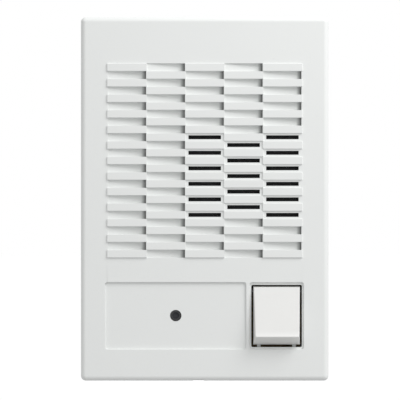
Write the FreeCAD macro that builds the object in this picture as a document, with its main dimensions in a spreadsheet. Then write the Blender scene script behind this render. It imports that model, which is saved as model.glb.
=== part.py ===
import FreeCAD, Part
import Sketcher
import math
import os

# Intercom station: a flat-fronted box that is screwed to a wall and carries a loudspeaker,
# a microphone and one talk button.
#
# Every sub-part is a body whose own axes are X to the right, Y up and Z out of the wall, so
# a length along Z is a height above the wall. The body's Placement turns these axes into the
# station's: +X right, +Z up, and the face looking to -Y. The origin is on the wall, half way
# between the two wall screws, at the centre of the rear face.

SIZES = {
    # Casing
    "case_width": 100.0,
    "case_height": 146.8,
    "case_depth": 32.0,
    "case_corner": 2.0,
    "face_edge": 2.1,
    "face_wall": 2.5,
    "side_wall": 2.2,
    "inner_corner": 1.0,
    "weld": 0.3,
    # Rear housing
    "flange_height": 3.0,
    "flange_inset": 0.6,
    "flange_edge": 0.5,
    "floor_wall": 2.2,
    "seam_gap": 0.15,
    "rim_gap": 0.25,
    "rim_wall": 1.8,
    "rim_height": 8.0,
    "wall_hole": 2.25,
    "wall_hole_pitch": 83.5,
    "wall_pad": 6.0,
    "wall_pad_rise": 1.2,
    "cable_hole": 8.0,
    "cable_collar": 1.8,
    "cable_collar_rise": 3.0,
    "cable_right": -30.0,
    "cable_up": 8.0,
    "rib_wall": 1.4,
    "rib_rise": 1.8,
    "rib_spread": 44.0,
    # Catches between cover and rear housing
    "catch_width": 8.0,
    "catch_depth": 1.0,
    "catch_thick": 2.0,
    "catch_height": 6.0,
    "catch_spread": 56.0,
    "catch_gap": 0.3,
    "latch_right": -2.6,
    "latch_width": 4.4,
    "latch_thick": 1.5,
    "latch_slot": 1.9,
    "latch_gap": 0.25,
    "lead_in_depth": 1.3,
    "lead_in_rise": 1.9,
    # Grille
    "cell_width": 15.66,
    "cell_height": 3.13,
    "grille_up": 15.46,
    "bar_width": 16.1,
    "bar_height": 3.17,
    "bar_rise": 0.6,
    "bar_draft": 12.0,
    "blind_width": 15.35,
    "blind_height": 3.2,
    "blind_depth": 0.35,
    "blind_end_depth": 2.05,
    "slot_length": 13.1,
    "slot_height": 1.6,
    # Panel with the label recess and the button recess
    "panel_up": -47.1,
    "panel_depth": 0.9,
    "panel_corner": 1.0,
    "label_right": -11.7,
    "label_width": 56.9,
    "label_height": 27.1,
    "button_right": 29.0,
    "button_recess_width": 21.9,
    "button_recess_height": 27.0,
    "well_width": 20.4,
    "well_height": 25.1,
    "well_corner": 0.6,
    "well_drop": 0.15,
    # Talk button
    "button_width": 18.8,
    "button_height": 23.3,
    "button_top_rise": 0.3,
    "button_rise": 5.8,
    "button_bend": 2.3,
    "button_bend_rise": 4.6,
    "button_foot": 3.45,
    "button_spare": 1.0,
    "button_draft": 6.5,
    "button_edge": 0.35,
    "button_wall": 1.8,
    "button_skirt": 3.4,
    "button_sink": 0.8,
    "stop_lip": 2.0,
    "stop_lip_width": 1.4,
    "stop_lip_inset": 1.6,
    "stop_lip_thick": 1.8,
    "stop_gap": 0.3,
    "barrel": 2.2,
    "barrel_drop": 1.9,
    "pin": 1.0,
    "pin_depth": 4.6,
    "pin_fit": 0.01,
    "pin_play": 0.06,
    "pin_edge": 0.2,
    "ear_wall": 1.8,
    "ear": 2.8,
    # Talk switch and its springs
    "switch_width": 12.0,
    "switch_height": 6.0,
    "switch_drop": 6.0,
    "switch_cap": 1.0,
    "switch_floor": 0.8,
    "plunger": 2.0,
    "plunger_rise": 2.6,
    "plunger_flange": 3.0,
    "plunger_flange_thick": 0.8,
    "plunger_tail": 0.8,
    "plunger_play": 0.1,
    "chamber_gap": 0.3,
    "post": 1.8,
    "post_gap": 0.3,
    "switch_pin": 0.4,
    "switch_pin_spread": 9.0,
    "pin_stick": 1.2,
    "switch_wire": 0.2,
    "switch_spring_turns": 4.0,
    "peg": 1.3,
    "peg_clear": 4.0,
    "spring_seat": 2.7,
    "spring_drop": -2.7,
    "spring": 2.2,
    "spring_wire": 0.25,
    "spring_turns": 8.0,
    "spring_gap": 0.1,
    # Microphone
    "mic_hole": 2.3,
    "mic_nose": 2.2,
    "mic_nose_bore": 1.4,
    "mic_nose_sink": 0.35,
    "mic_can": 4.85,
    "mic_can_lip": 0.2,
    "mic_can_rim": 0.8,
    "mic_can_height": 6.6,
    "mic_play": 0.05,
    "boot_wall": 1.0,
    "boot_length": 6.6,
    "collar_wall": 1.4,
    "collar_height": 5.0,
    "felt_thick": 0.5,
    "felt_sink": 0.5,
    "mic_lead": 0.3,
    "mic_lead_pitch": 2.54,
    # Loudspeaker
    "speaker": 28.5,
    "speaker_flange": 3.9,
    "speaker_steel": 0.8,
    "speaker_play": 0.4,
    "lip_wall": 1.5,
    "gasket": 1.7,
    "basket_depth": 9.5,
    "basket_neck": 16.6,
    "basket_window": 9.0,
    "cone": 21.5,
    "cone_paper": 0.4,
    "surround_paper": 0.3,
    "surround_rise": 0.9,
    "surround_land": 2.8,
    "cone_land": 0.9,
    "coil": 6.8,
    "coil_paper": 0.15,
    "coil_wire": 0.25,
    "coil_winding": 3.0,
    "coil_gap": 0.3,
    "coil_below": 0.5,
    "cap_height": 2.0,
    "cap_land": 0.8,
    "spider": 14.0,
    "spider_cloth": 0.3,
    "spider_rise": 1.2,
    "cone_clear": 1.1,
    "top_plate": 15.0,
    "plate_thick": 2.0,
    "magnet": 16.0,
    "magnet_height": 5.0,
    "magnet_bore": 9.0,
    "yoke": 14.0,
    "clamp_circle": 33.0,
    "clamp": 5.4,
    "clamp_steel": 0.8,
    "strip_reach": 24.6,
    "strip_start": 17.4,
    "strip_width": 9.0,
    "strip_thick": 1.2,
    "tag_pitch": 3.4,
    "tag_width": 2.0,
    "tag_thick": 0.4,
    "tag_drop": 3.2,
    "cloth": 0.3,
    "cloth_gap": 0.1,
    # Screws
    "screw": 1.45,
    "screw_tip": 0.3625,
    "screw_fit": 0.02,
    "screw_length": 8.0,
    "screw_head": 2.8,
    "screw_head_height": 1.9,
    "screw_slot": 0.8,
    "screw_slot_depth": 0.9,
    "boss": 3.0,
    # Circuit board
    "board_width": 88.0,
    "board_height": 44.0,
    "board_up": -44.2,
    "board_thick": 1.6,
    "board_front": 17.6,
    "board_hole_spread": 81.0,
    "board_hole_rise": 36.5,
    "board_hole_gap": 0.15,
    "lead_hole_gap": 0.1,
    "solder_stick": 1.0,
    # Parts on the board
    "block_right": -25.0,
    "block_up": -31.0,
    "block_pitch": 5.0,
    "block_height": 9.0,
    "block_depth": 10.0,
    "block_entry": 3.2,
    "block_entry_depth": 5.0,
    "block_screw": 1.8,
    "block_screw_gap": 0.15,
    "block_screw_length": 4.0,
    "block_screw_sink": 0.4,
    "chip_right": -26.0,
    "chip_up": -47.0,
    "chip_length": 10.0,
    "chip_width": 6.4,
    "chip_notch": 0.8,
    "chip_height": 3.3,
    "chip_stand": 0.6,
    "chip_pin_pitch": 2.54,
    "chip_pin_width": 0.5,
    "chip_pin_thick": 0.3,
    "chip_pin_row": 7.62,
    "can_right": -31.0,
    "can_up": -59.5,
    "can_pitch": 12.0,
    "can": 5.0,
    "can_height": 11.0,
    "can_bead": 0.4,
    "can_bead_up": 1.6,
    "small_can_right": -4.5,
    "small_can_up": -50.6,
    "small_can_pitch": 9.0,
    "small_can": 3.15,
    "small_can_height": 7.0,
    "film_right": 17.0,
    "film_up": -45.0,
    "film_pitch": 4.6,
    "film_length": 7.2,
    "film_thick": 2.6,
    "film_height": 6.5,
    "disc_right": 39.5,
    "disc_up": -52.0,
    "disc_pitch": 8.5,
    "disc": 3.0,
    "disc_thick": 2.0,
    "disc_stand": 1.2,
    "resistor_right": -8.0,
    "resistor_up": -31.5,
    "resistor_pitch": 4.0,
    "resistor": 1.15,
    "resistor_length": 6.3,
    "resistor_span": 9.6,
    "resistor_stand": 0.3,
    "thin_lead": 0.3,
    "transistor_right": 27.0,
    "transistor_up": -43.6,
    "transistor_pitch": 6.2,
    "transistor": 2.3,
    "transistor_flat": 1.4,
    "transistor_height": 4.6,
    "transistor_stand": 2.2,
    "core_right": 25.5,
    "core_up": -31.2,
    "core_width": 19.0,
    "core_height": 13.6,
    "core_depth": 6.4,
    "core_stand": 2.2,
    "core_window": 3.2,
    "core_leg": 4.8,
    "winding_gap": 0.1,
    "trimmer_right": 13.0,
    "trimmer_up": -58.0,
    "trimmer_width": 10.0,
    "trimmer_depth": 4.8,
    "rotor": 3.4,
    "rotor_thick": 1.6,
    "rotor_play": 0.06,
    "rotor_sink": 0.3,
    "rotor_slot": 0.8,
    "rotor_slot_inset": 0.5,
    "rotor_slot_depth": 0.7,
    "trimmer_access": 3.2,
    # Leads from the speaker tags to the board
    "lead": 0.6,
    "lead_bend": 1.6,
    "lead_board_inset": 2.2,
}

# Counts and angles that are no lengths
GRILLE_COLUMNS = 5
GRILLE_ROWS = 25
BLIND_CELLS = ((0, 1, 24, 12), (1, 1, 25, 13), (2, 2, 24, 2), (2, 2, 8, 4), (3, 1, 25, 3), (3, 1, 9, 5))
SLOT_CELLS = ((2, 2, 20, 6), (3, 1, 19, 5))
BAR_CELLS = ((0, 3, 25, 13), (1, 2, 24, 12))
SPEAKER_ROW = 15
CLAMP_COUNT = 3
BASKET_WINDOWS = 4
SPIDER_STEPS = 5
BLOCK_POLES = 4
CHIP_PINS = 4
CAN_COUNT = 3
SMALL_CAN_COUNT = 2
FILM_COUNT = 2
DISC_COUNT = 3
RESISTOR_COUNT = 5
TRANSISTOR_COUNT = 2
FULL_TURN = 360.0
QUARTER_TURN = 90.0
NEAR = 1e-4

document = FreeCAD.newDocument("IntercomStation")
sheet = document.addObject("Spreadsheet::Sheet", "Sizes")
for line, (alias, amount) in enumerate(SIZES.items(), start=1):
    sheet.set(f"A{line}", str(amount))
    sheet.setAlias(f"A{line}", alias)
document.recompute()


class Size:
    """A number together with the spreadsheet formula that it comes from."""

    def __init__(self, value, formula):
        self.value = value
        self.formula = formula

    def __add__(self, other):
        other = as_size(other)
        return Size(self.value + other.value, f"({self.formula} + {other.formula})")

    def __sub__(self, other):
        other = as_size(other)
        return Size(self.value - other.value, f"({self.formula} - {other.formula})")

    def __mul__(self, other):
        other = as_size(other)
        return Size(self.value * other.value, f"({self.formula} * {other.formula})")

    def __truediv__(self, other):
        other = as_size(other)
        return Size(self.value / other.value, f"({self.formula} / {other.formula})")

    def __radd__(self, other):
        return as_size(other) + self

    def __rsub__(self, other):
        return as_size(other) - self

    def __rmul__(self, other):
        return as_size(other) * self

    def __neg__(self):
        return as_size(0) - self


def as_size(amount):
    """Give a plain number the form of a Size."""
    if isinstance(amount, Size):
        return amount
    return Size(float(amount), f"({float(amount)})")


def slope(angle):
    """The run per unit of rise at an angle in degrees."""
    return Size(math.tan(math.radians(angle.value)), f"tan({angle.formula} * 1 deg)")


class Sheet:
    """Reads the sizes by name."""

    def __getattr__(self, name):
        return Size(SIZES[name], f"Sizes.{name}")


S = Sheet()
volumes = {}


# ---------------------------------------------------------------- drawing and feature helpers


def bind(item, path, amount):
    """Tie one property or constraint to the sheet."""
    item.setExpression(path, as_size(amount).formula)


def body(label, right=0, up=0, out=0):
    """A body that stands at a place on the wall, with its Z axis out of the wall."""
    item = document.addObject("PartDesign::Body", label)
    item.Label = label
    item.Placement = FreeCAD.Placement(
        FreeCAD.Vector(), FreeCAD.Rotation(FreeCAD.Vector(1, 0, 0), QUARTER_TURN)
    )
    bind(item, "Placement.Base.x", right)
    bind(item, "Placement.Base.y", -as_size(out))
    bind(item, "Placement.Base.z", up)
    return item


def origin_feature(item, role):
    """One of the body's own axes or planes."""
    return next(part for part in item.Origin.OriginFeatures if part.Role == role)


def sketch(item, plane="XY_Plane", right=0, up=0, out=0):
    """A sketch on one of the body's planes, with its origin moved to a place in the body.

    Sketch axes are right and up on XY_Plane, right and out on XZ_Plane, up and out on YZ_Plane.
    """
    drawing = item.newObject("Sketcher::SketchObject", item.Label + "_sketch")
    drawing.AttachmentSupport = [(origin_feature(item, plane), "")]
    drawing.MapMode = "FlatFace"
    offsets = {
        "XY_Plane": (right, up, out),
        "XZ_Plane": (right, out, -as_size(up)),
        "YZ_Plane": (up, out, right),
    }[plane]
    for axis, amount in zip("xyz", offsets):
        bind(drawing, f"AttachmentOffset.Base.{axis}", amount)
    return drawing


def constrain(drawing, kind, *references, amount=None):
    """Add one constraint, and tie its value to the sheet if it has one."""
    if amount is None:
        drawing.addConstraint(Sketcher.Constraint(kind, *references))
        return
    amount = as_size(amount)
    index = drawing.addConstraint(Sketcher.Constraint(kind, *references, amount.value))
    name = f"c{index}n"
    drawing.renameConstraint(index, name)
    bind(drawing, f"Constraints.{name}", amount)


def arc_between(start, end, radius, side):
    """An arc from start to end whose centre lies on one side of the chord (+1 is its left)."""
    chord = end - start
    middle = (start + end) * 0.5
    reach = math.sqrt(max(radius * radius - chord.Length * chord.Length / 4, 0.0))
    left = FreeCAD.Vector(-chord.y, chord.x, 0) / chord.Length
    centre = middle + left * (side * reach)
    circle = Part.Circle(centre, FreeCAD.Vector(0, 0, 1), radius)
    first, last = (start, end) if side > 0 else (end, start)
    angles = [math.atan2(p.y - centre.y, p.x - centre.x) for p in (first, last)]
    if angles[1] < angles[0]:
        angles[1] += 2 * math.pi
    return Part.ArcOfCircle(circle, angles[0], angles[1])


def outline(drawing, corners, arcs=None, closed=True):
    """Draw a chain of corners, each tied to the sheet. arcs maps a side's number to its
    (radius, side of the centre); every other side is straight."""
    arcs = arcs or {}
    corners = [(as_size(x), as_size(y)) for x, y in corners]
    points = [FreeCAD.Vector(x.value, y.value, 0) for x, y in corners]
    sides = []
    for number in range(len(points) if closed else len(points) - 1):
        start, end = points[number], points[(number + 1) % len(points)]
        if number in arcs:
            radius, side = as_size(arcs[number][0]), arcs[number][1]
            index = drawing.addGeometry(arc_between(start, end, radius.value, side), False)
            ends = (1, 2) if side > 0 else (2, 1)
            constrain(drawing, "Radius", index, amount=radius)
        else:
            index = drawing.addGeometry(Part.LineSegment(start, end), False)
            ends = (1, 2)
        sides.append((index, ends))
    for number in range(len(sides) if closed else len(sides) - 1):
        here, following = sides[number], sides[(number + 1) % len(sides)]
        constrain(drawing, "Coincident", here[0], here[1][1], following[0], following[1][0])
    holders = [(index, ends[0]) for index, ends in sides]
    if not closed:
        holders.append((sides[-1][0], sides[-1][1][1]))
    for (x, y), (index, end) in zip(corners, holders):
        constrain(drawing, "DistanceX", -1, 1, index, end, amount=x)
        constrain(drawing, "DistanceY", -1, 1, index, end, amount=y)
    return drawing


def rectangle(drawing, width, height, right=0, up=0):
    """A rectangle about a point of the sketch."""
    left, lower = as_size(right) - as_size(width) / 2, as_size(up) - as_size(height) / 2
    far, upper = as_size(right) + as_size(width) / 2, as_size(up) + as_size(height) / 2
    return outline(drawing, [(left, lower), (far, lower), (far, upper), (left, upper)])


def rounded(drawing, width, height, radius):
    """A rectangle with round corners about the sketch's origin."""
    across, along, radius = as_size(width) / 2, as_size(height) / 2, as_size(radius)
    near_x, near_y = across - radius, along - radius
    corners = [
        (-near_x, -along), (near_x, -along), (across, -near_y), (across, near_y),
        (near_x, along), (-near_x, along), (-across, near_y), (-across, -near_y),
    ]
    return outline(drawing, corners, arcs={1: (radius, 1), 3: (radius, 1), 5: (radius, 1), 7: (radius, 1)})


def circle(drawing, radius, right=0, up=0):
    """A circle about a point of the sketch."""
    right, up, radius = as_size(right), as_size(up), as_size(radius)
    centre = FreeCAD.Vector(right.value, up.value, 0)
    index = drawing.addGeometry(Part.Circle(centre, FreeCAD.Vector(0, 0, 1), radius.value), False)
    constrain(drawing, "Radius", index, amount=radius)
    constrain(drawing, "DistanceX", -1, 1, index, 3, amount=right)
    constrain(drawing, "DistanceY", -1, 1, index, 3, amount=up)
    return drawing


def feature(item, kind, drawing):
    """A new feature of a body made from a sketch."""
    made = item.newObject("PartDesign::" + kind, f"{item.Label}_{kind.lower()}")
    if drawing is not None:
        made.Profile = drawing
        drawing.Visibility = False
    return made


def settle(item, made, grows):
    """Recompute, and stop if the feature failed or changed the body the wrong way."""
    document.recompute()
    if "Invalid" in made.State or "Error" in made.State or made.Shape.isNull():
        raise RuntimeError(f"{item.Label}: {made.Name} failed: {made.State}")
    change = made.Shape.Volume - volumes.get(item.Label, 0.0)
    if (change <= NEAR) if grows else (change >= -NEAR):
        raise RuntimeError(f"{item.Label}: {made.Name} changed the volume by {change}")
    volumes[item.Label] = made.Shape.Volume
    return made


def pad(item, drawing, length, inward=False, both=False, taper=None):
    """Add the sketch's area, out of the wall or towards it, or to both sides."""
    made = feature(item, "Pad", drawing)
    bind(made, "Length", length)
    made.Reversed = inward
    if both:
        made.SideType = "Symmetric"
    if taper is not None:
        bind(made, "TaperAngle", taper)
    return settle(item, made, True)


def pocket(item, drawing, depth=None, outward=False, both=False, taper=None):
    """Cut the sketch's area, towards the wall or away from it; with no depth, through all."""
    made = feature(item, "Pocket", drawing)
    made.Reversed = outward
    if depth is None:
        made.Type = "ThroughAll"
    else:
        bind(made, "Length", depth)
    if both:
        made.SideType = "Symmetric"
    if taper is not None:
        bind(made, "TaperAngle", taper)
    return settle(item, made, False)


def revolve(item, drawing, cut=False):
    """Turn the sketch about its own second axis."""
    made = feature(item, "Groove" if cut else "Revolution", drawing)
    made.ReferenceAxis = (drawing, ["V_Axis"])
    made.Angle = FULL_TURN
    return settle(item, made, not cut)


def turned(item, corners, arcs=None, right=0, up=0, cut=False):
    """A round piece: corners are (radius, height) pairs about an axis out of the wall."""
    return revolve(item, outline(sketch(item, "XZ_Plane", right, up), corners, arcs), cut)


def grid(item, originals, steps, counts, grows=True):
    """Repeat features along X and then along Y of the body."""
    repeat = feature(item, "LinearPattern", None)
    repeat.Originals = originals if isinstance(originals, list) else [originals]
    repeat.Direction = (origin_feature(item, "X_Axis"), [""])
    bind(repeat, "Length", steps[0] * max(counts[0] - 1, 1))
    repeat.Occurrences = counts[0]
    repeat.Direction2 = (origin_feature(item, "Y_Axis"), [""])
    bind(repeat, "Length2", steps[1] * max(counts[1] - 1, 1))
    repeat.Occurrences2 = counts[1]
    repeat.Refine = False
    item.Tip = repeat
    return settle(item, repeat, grows)


def around(item, originals, drawing, count, grows=True):
    """Repeat features in a circle about the axis of a sketch's origin."""
    repeat = feature(item, "PolarPattern", None)
    repeat.Originals = originals if isinstance(originals, list) else [originals]
    repeat.Axis = (drawing, ["N_Axis"])
    repeat.Angle = FULL_TURN
    repeat.Occurrences = count
    repeat.Refine = False
    item.Tip = repeat
    return settle(item, repeat, grows)


def round_edges(item, radius, wanted, kind="Fillet"):
    """Round or chamfer the tip's edges that the test picks."""
    tip = item.Tip
    names = [f"Edge{n}" for n, edge in enumerate(tip.Shape.Edges, start=1) if wanted(edge)]
    if not names:
        raise RuntimeError(f"{item.Label}: no edge to round")
    made = item.newObject("PartDesign::" + kind, f"{item.Label}_{kind.lower()}")
    made.Base = (tip, names)
    bind(made, "Radius" if kind == "Fillet" else "Size", radius)
    return settle(item, made, False)


def spring_coil(label, mean, wire, length, turns, right, up, out):
    """A compression spring that stands on a point and reaches out of the wall."""
    item = body(label, right, up, out)
    section = circle(sketch(item, "XZ_Plane"), wire, mean, wire)
    made = feature(item, "AdditiveHelix", section)
    made.ReferenceAxis = (origin_feature(item, "Z_Axis"), [""])
    made.Mode = "height-turns-angle"
    bind(made, "Height", length - 2 * wire)
    bind(made, "Turns", turns)
    return settle(item, made, True)


# ---------------------------------------------------------------- shared places and levels


def button_face(up):
    """The height of the button's sloping face at a distance above the button's centre."""
    fall = (S.button_bend_rise - S.button_top_rise) / (S.button_height - S.button_foot - S.button_bend)
    return S.case_depth + S.button_top_rise + fall * (S.button_height / 2 - up)


INNER_FACE = S.case_depth - S.face_wall
INNER_WIDTH = S.case_width - 2 * S.side_wall
INNER_HEIGHT = S.case_height - 2 * S.side_wall
SEAM = S.flange_height + S.seam_gap
PANEL_FLOOR = S.case_depth - S.panel_depth
RIM_WIDTH = INNER_WIDTH - 2 * S.rim_gap
RIM_HEIGHT = INNER_HEIGHT - 2 * S.rim_gap
RIM_TOP = S.flange_height + S.rim_height

SPEAKER_RIGHT = S.cell_width
SPEAKER_UP = S.grille_up - (SPEAKER_ROW - (GRILLE_ROWS + 1) / 2) * S.cell_height
SEAT_LEVEL = INNER_FACE - S.cloth
GASKET_BACK = SEAT_LEVEL - S.gasket
FLANGE_FRONT = GASKET_BACK - S.surround_paper
FLANGE_BACK = FLANGE_FRONT - S.speaker_steel
BASKET_BACK = FLANGE_BACK - S.basket_depth
BASKET_FLOOR = BASKET_BACK + S.speaker_steel
PLATE_BACK = BASKET_BACK - S.plate_thick
MAGNET_BACK = PLATE_BACK - S.magnet_height
YOKE_BACK = MAGNET_BACK - S.plate_thick
BASKET_INNER = S.speaker - S.speaker_flange
POLE = S.coil - S.coil_gap
COIL_OUTSIDE = S.coil + S.coil_paper + S.coil_wire
COIL_BOTTOM = PLATE_BACK - S.coil_below
CONE_NECK = S.coil + S.coil_paper
CONE_BASE = BASKET_FLOOR + S.spider_rise + S.cone_clear
CONE_EDGE = FLANGE_FRONT
GASKET_INNER = S.speaker - S.surround_land + S.surround_paper

BOARD_BACK = S.board_front - S.board_thick
BOARD_TOP = S.board_up + S.board_height / 2
PIN_UP = S.panel_up + S.button_height / 2 - S.barrel_drop
PIN_OUT = S.case_depth - S.pin_depth
TAPER_START = PANEL_FLOOR - S.seam_gap
BUTTON_BACK = TAPER_START - S.button_skirt - S.button_sink
SWITCH_TOP = S.board_front + S.switch_height
SWITCH_UP = S.panel_up - S.switch_drop
CHAMBER_TOP = SWITCH_TOP - S.switch_cap
CHAMBER_FLOOR = S.board_front + S.switch_floor
PLUNGER_TOP = SWITCH_TOP + S.plunger_rise
POST_END = PLUNGER_TOP + S.post_gap
FLANGE_TOP = CHAMBER_TOP - S.plunger_play
FLANGE_BOTTOM = FLANGE_TOP - S.plunger_flange_thick
SPRING_UP = S.panel_up - S.spring_drop
SPRING_SEAT = button_face(S.spring_seat - S.spring_drop) - S.button_wall - S.button_top_rise
STRIP_FRONT = BASKET_BACK
STRIP_BACK = STRIP_FRONT - S.strip_thick
TAG_TIP = STRIP_BACK - S.tag_drop
LEAD_LEVEL = TAG_TIP + S.tag_drop / 2


def cell_right(column):
    """The centre of a grille column."""
    return (column - (GRILLE_COLUMNS - 1) / 2) * S.cell_width


def cell_up(row):
    """The centre of a grille row; row 1 is the top one."""
    return S.grille_up + ((GRILLE_ROWS + 1) / 2 - row) * S.cell_height


# ---------------------------------------------------------------- casing


def over_cells(item, first, group, grows):
    """Repeat a bar, recess or slot in every other cell of some grille columns."""
    columns, rows = group[1], group[3]
    grid(item, first, (2 * S.cell_width, 2 * S.cell_height), (columns, rows), grows)


def blind_recess(cover, group):
    """A sunk cell whose floor slopes down to a wall at its right end."""
    shallow = S.case_depth - S.blind_depth
    deep = S.case_depth - S.blind_end_depth
    sky = S.case_depth + 2 * S.bar_rise
    half = S.blind_width / 2
    profile = outline(
        sketch(cover, "XZ_Plane", right=cell_right(group[0]), up=cell_up(group[2])),
        [(-half, shallow), (half, deep), (half, sky), (-half, sky)],
    )
    return pocket(cover, profile, S.blind_height, both=True)


def make_grille(cover):
    """A chequerboard of raised bars and sunk recesses, with open slots before the speaker."""
    for group in BAR_CELLS:
        bar = sketch(cover, right=cell_right(group[0]), up=cell_up(group[2]), out=S.case_depth)
        rectangle(bar, S.bar_width, S.bar_height)
        over_cells(cover, pad(cover, bar, S.bar_rise, taper=-S.bar_draft), group, True)
    for group in BLIND_CELLS:
        over_cells(cover, blind_recess(cover, group), group, False)
    for group in SLOT_CELLS:
        slot = sketch(cover, right=cell_right(group[0]), up=cell_up(group[2]), out=S.case_depth)
        rectangle(slot, S.slot_length, S.slot_height)
        over_cells(cover, pocket(cover, slot, S.face_wall + S.weld), group, False)


def make_panel(cover):
    """The recess for a label, the recess round the button, its well and the microphone hole."""
    label = sketch(cover, right=S.label_right, up=S.panel_up, out=S.case_depth)
    pocket(cover, rounded(label, S.label_width, S.label_height, S.panel_corner), S.panel_depth)
    recess = sketch(cover, right=S.button_right, up=S.panel_up, out=S.case_depth)
    rounded(recess, S.button_recess_width, S.button_recess_height, S.panel_corner)
    pocket(cover, recess, S.panel_depth)
    well = sketch(cover, right=S.button_right, up=S.panel_up - S.well_drop, out=S.case_depth)
    pocket(cover, rounded(well, S.well_width, S.well_height, S.well_corner), S.face_wall + S.weld)
    hole = sketch(cover, right=S.label_right, up=S.panel_up, out=S.case_depth)
    pocket(cover, circle(hole, S.mic_hole), S.face_wall + S.weld)


def make_cover_seats(cover):
    """What carries the speaker, the microphone, the board and the button inside the cover."""
    root = INNER_FACE + S.weld
    lip_inner = S.speaker + S.speaker_play
    lip_outer = lip_inner + S.lip_wall
    lip_level = FLANGE_BACK + S.seam_gap
    turned(
        cover,
        [
            (lip_inner, root), (lip_inner, lip_level), (lip_outer, lip_level), (lip_outer, root),
        ],
        right=SPEAKER_RIGHT,
        up=SPEAKER_UP,
    )
    speaker_boss = sketch(cover, right=SPEAKER_RIGHT, up=SPEAKER_UP, out=root)
    circle(speaker_boss, S.boss, -S.clamp_circle)
    first = pad(cover, speaker_boss, root - FLANGE_BACK, inward=True)
    around(cover, first, speaker_boss, CLAMP_COUNT)
    speaker_pilot = sketch(cover, right=SPEAKER_RIGHT, up=SPEAKER_UP, out=FLANGE_BACK)
    circle(speaker_pilot, S.screw + S.screw_fit, -S.clamp_circle)
    first = pocket(cover, speaker_pilot, INNER_FACE - FLANGE_BACK, outward=True)
    around(cover, first, speaker_pilot, CLAMP_COUNT, False)

    corner_right = -S.board_hole_spread / 2
    corner_up = S.board_up - S.board_hole_rise / 2
    spread = (S.board_hole_spread, S.board_hole_rise)
    board_boss = circle(sketch(cover, right=corner_right, up=corner_up, out=root), S.boss)
    grid(cover, pad(cover, board_boss, root - S.board_front, inward=True), spread, (2, 2))
    board_pilot = sketch(cover, right=corner_right, up=corner_up, out=S.board_front)
    circle(board_pilot, S.screw + S.screw_fit)
    first = pocket(cover, board_pilot, S.screw_length, outward=True)
    grid(cover, first, spread, (2, 2), False)

    collar_inner = S.mic_can + S.mic_play + S.boot_wall + S.mic_play
    collar = sketch(cover, right=S.label_right, up=S.panel_up, out=root)
    circle(collar, collar_inner)
    circle(collar, collar_inner + S.collar_wall)
    pad(cover, collar, S.collar_height + S.weld, inward=True)

    reach = S.ear
    ear = sketch(cover, "YZ_Plane", right=S.button_right - S.well_width / 2, up=PIN_UP, out=PIN_OUT)
    outline(
        ear,
        [(reach, root - PIN_OUT), (-reach, root - PIN_OUT), (-reach, 0), (0, -reach), (reach, 0)],
        arcs={2: (reach, 1), 3: (reach, 1)},
    )
    circle(ear, S.pin + S.pin_fit)
    grid(cover, pad(cover, ear, S.ear_wall, inward=True), (S.well_width + S.ear_wall, 0), (2, 1))


def make_cover_catches(cover):
    """Two ledges at the top that hook the rear housing, and the latch slot in the lower wall."""
    ledge = sketch(cover, "XZ_Plane", right=-S.catch_spread / 2, up=INNER_HEIGHT / 2 + S.weld)
    rectangle(ledge, S.catch_width, S.catch_thick, 0, S.catch_height + S.catch_thick / 2)
    grid(cover, pad(cover, ledge, S.catch_depth + S.weld), (S.catch_spread, 0), (2, 1))
    slot = sketch(cover, "XZ_Plane", right=S.latch_right, up=-S.case_height / 2)
    rectangle(slot, S.latch_width, S.latch_slot, 0, INNER_FACE - S.latch_slot / 2)
    pocket(cover, slot, S.side_wall + S.weld)
    lead_in = sketch(cover, "XZ_Plane", right=S.latch_right, up=-S.case_height / 2)
    rectangle(lead_in, S.latch_width, S.lead_in_rise, 0, INNER_FACE + S.lead_in_rise / 2)
    pocket(cover, lead_in, S.lead_in_depth)


def make_front_cover():
    """The moulded front: face, skirt, grille, recesses and everything that the face carries."""
    cover = body("front_cover")
    block = rounded(sketch(cover, out=SEAM), S.case_width, S.case_height, S.case_corner)
    pad(cover, block, S.case_depth - SEAM)
    level = S.case_depth.value
    round_edges(cover, S.face_edge, lambda edge: abs(edge.BoundBox.ZMin - level) < NEAR)
    hollow = rounded(sketch(cover, out=SEAM), INNER_WIDTH, INNER_HEIGHT, S.inner_corner)
    pocket(cover, hollow, INNER_FACE - SEAM, outward=True)
    make_cover_seats(cover)
    make_cover_catches(cover)
    make_panel(cover)
    make_grille(cover)


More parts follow.
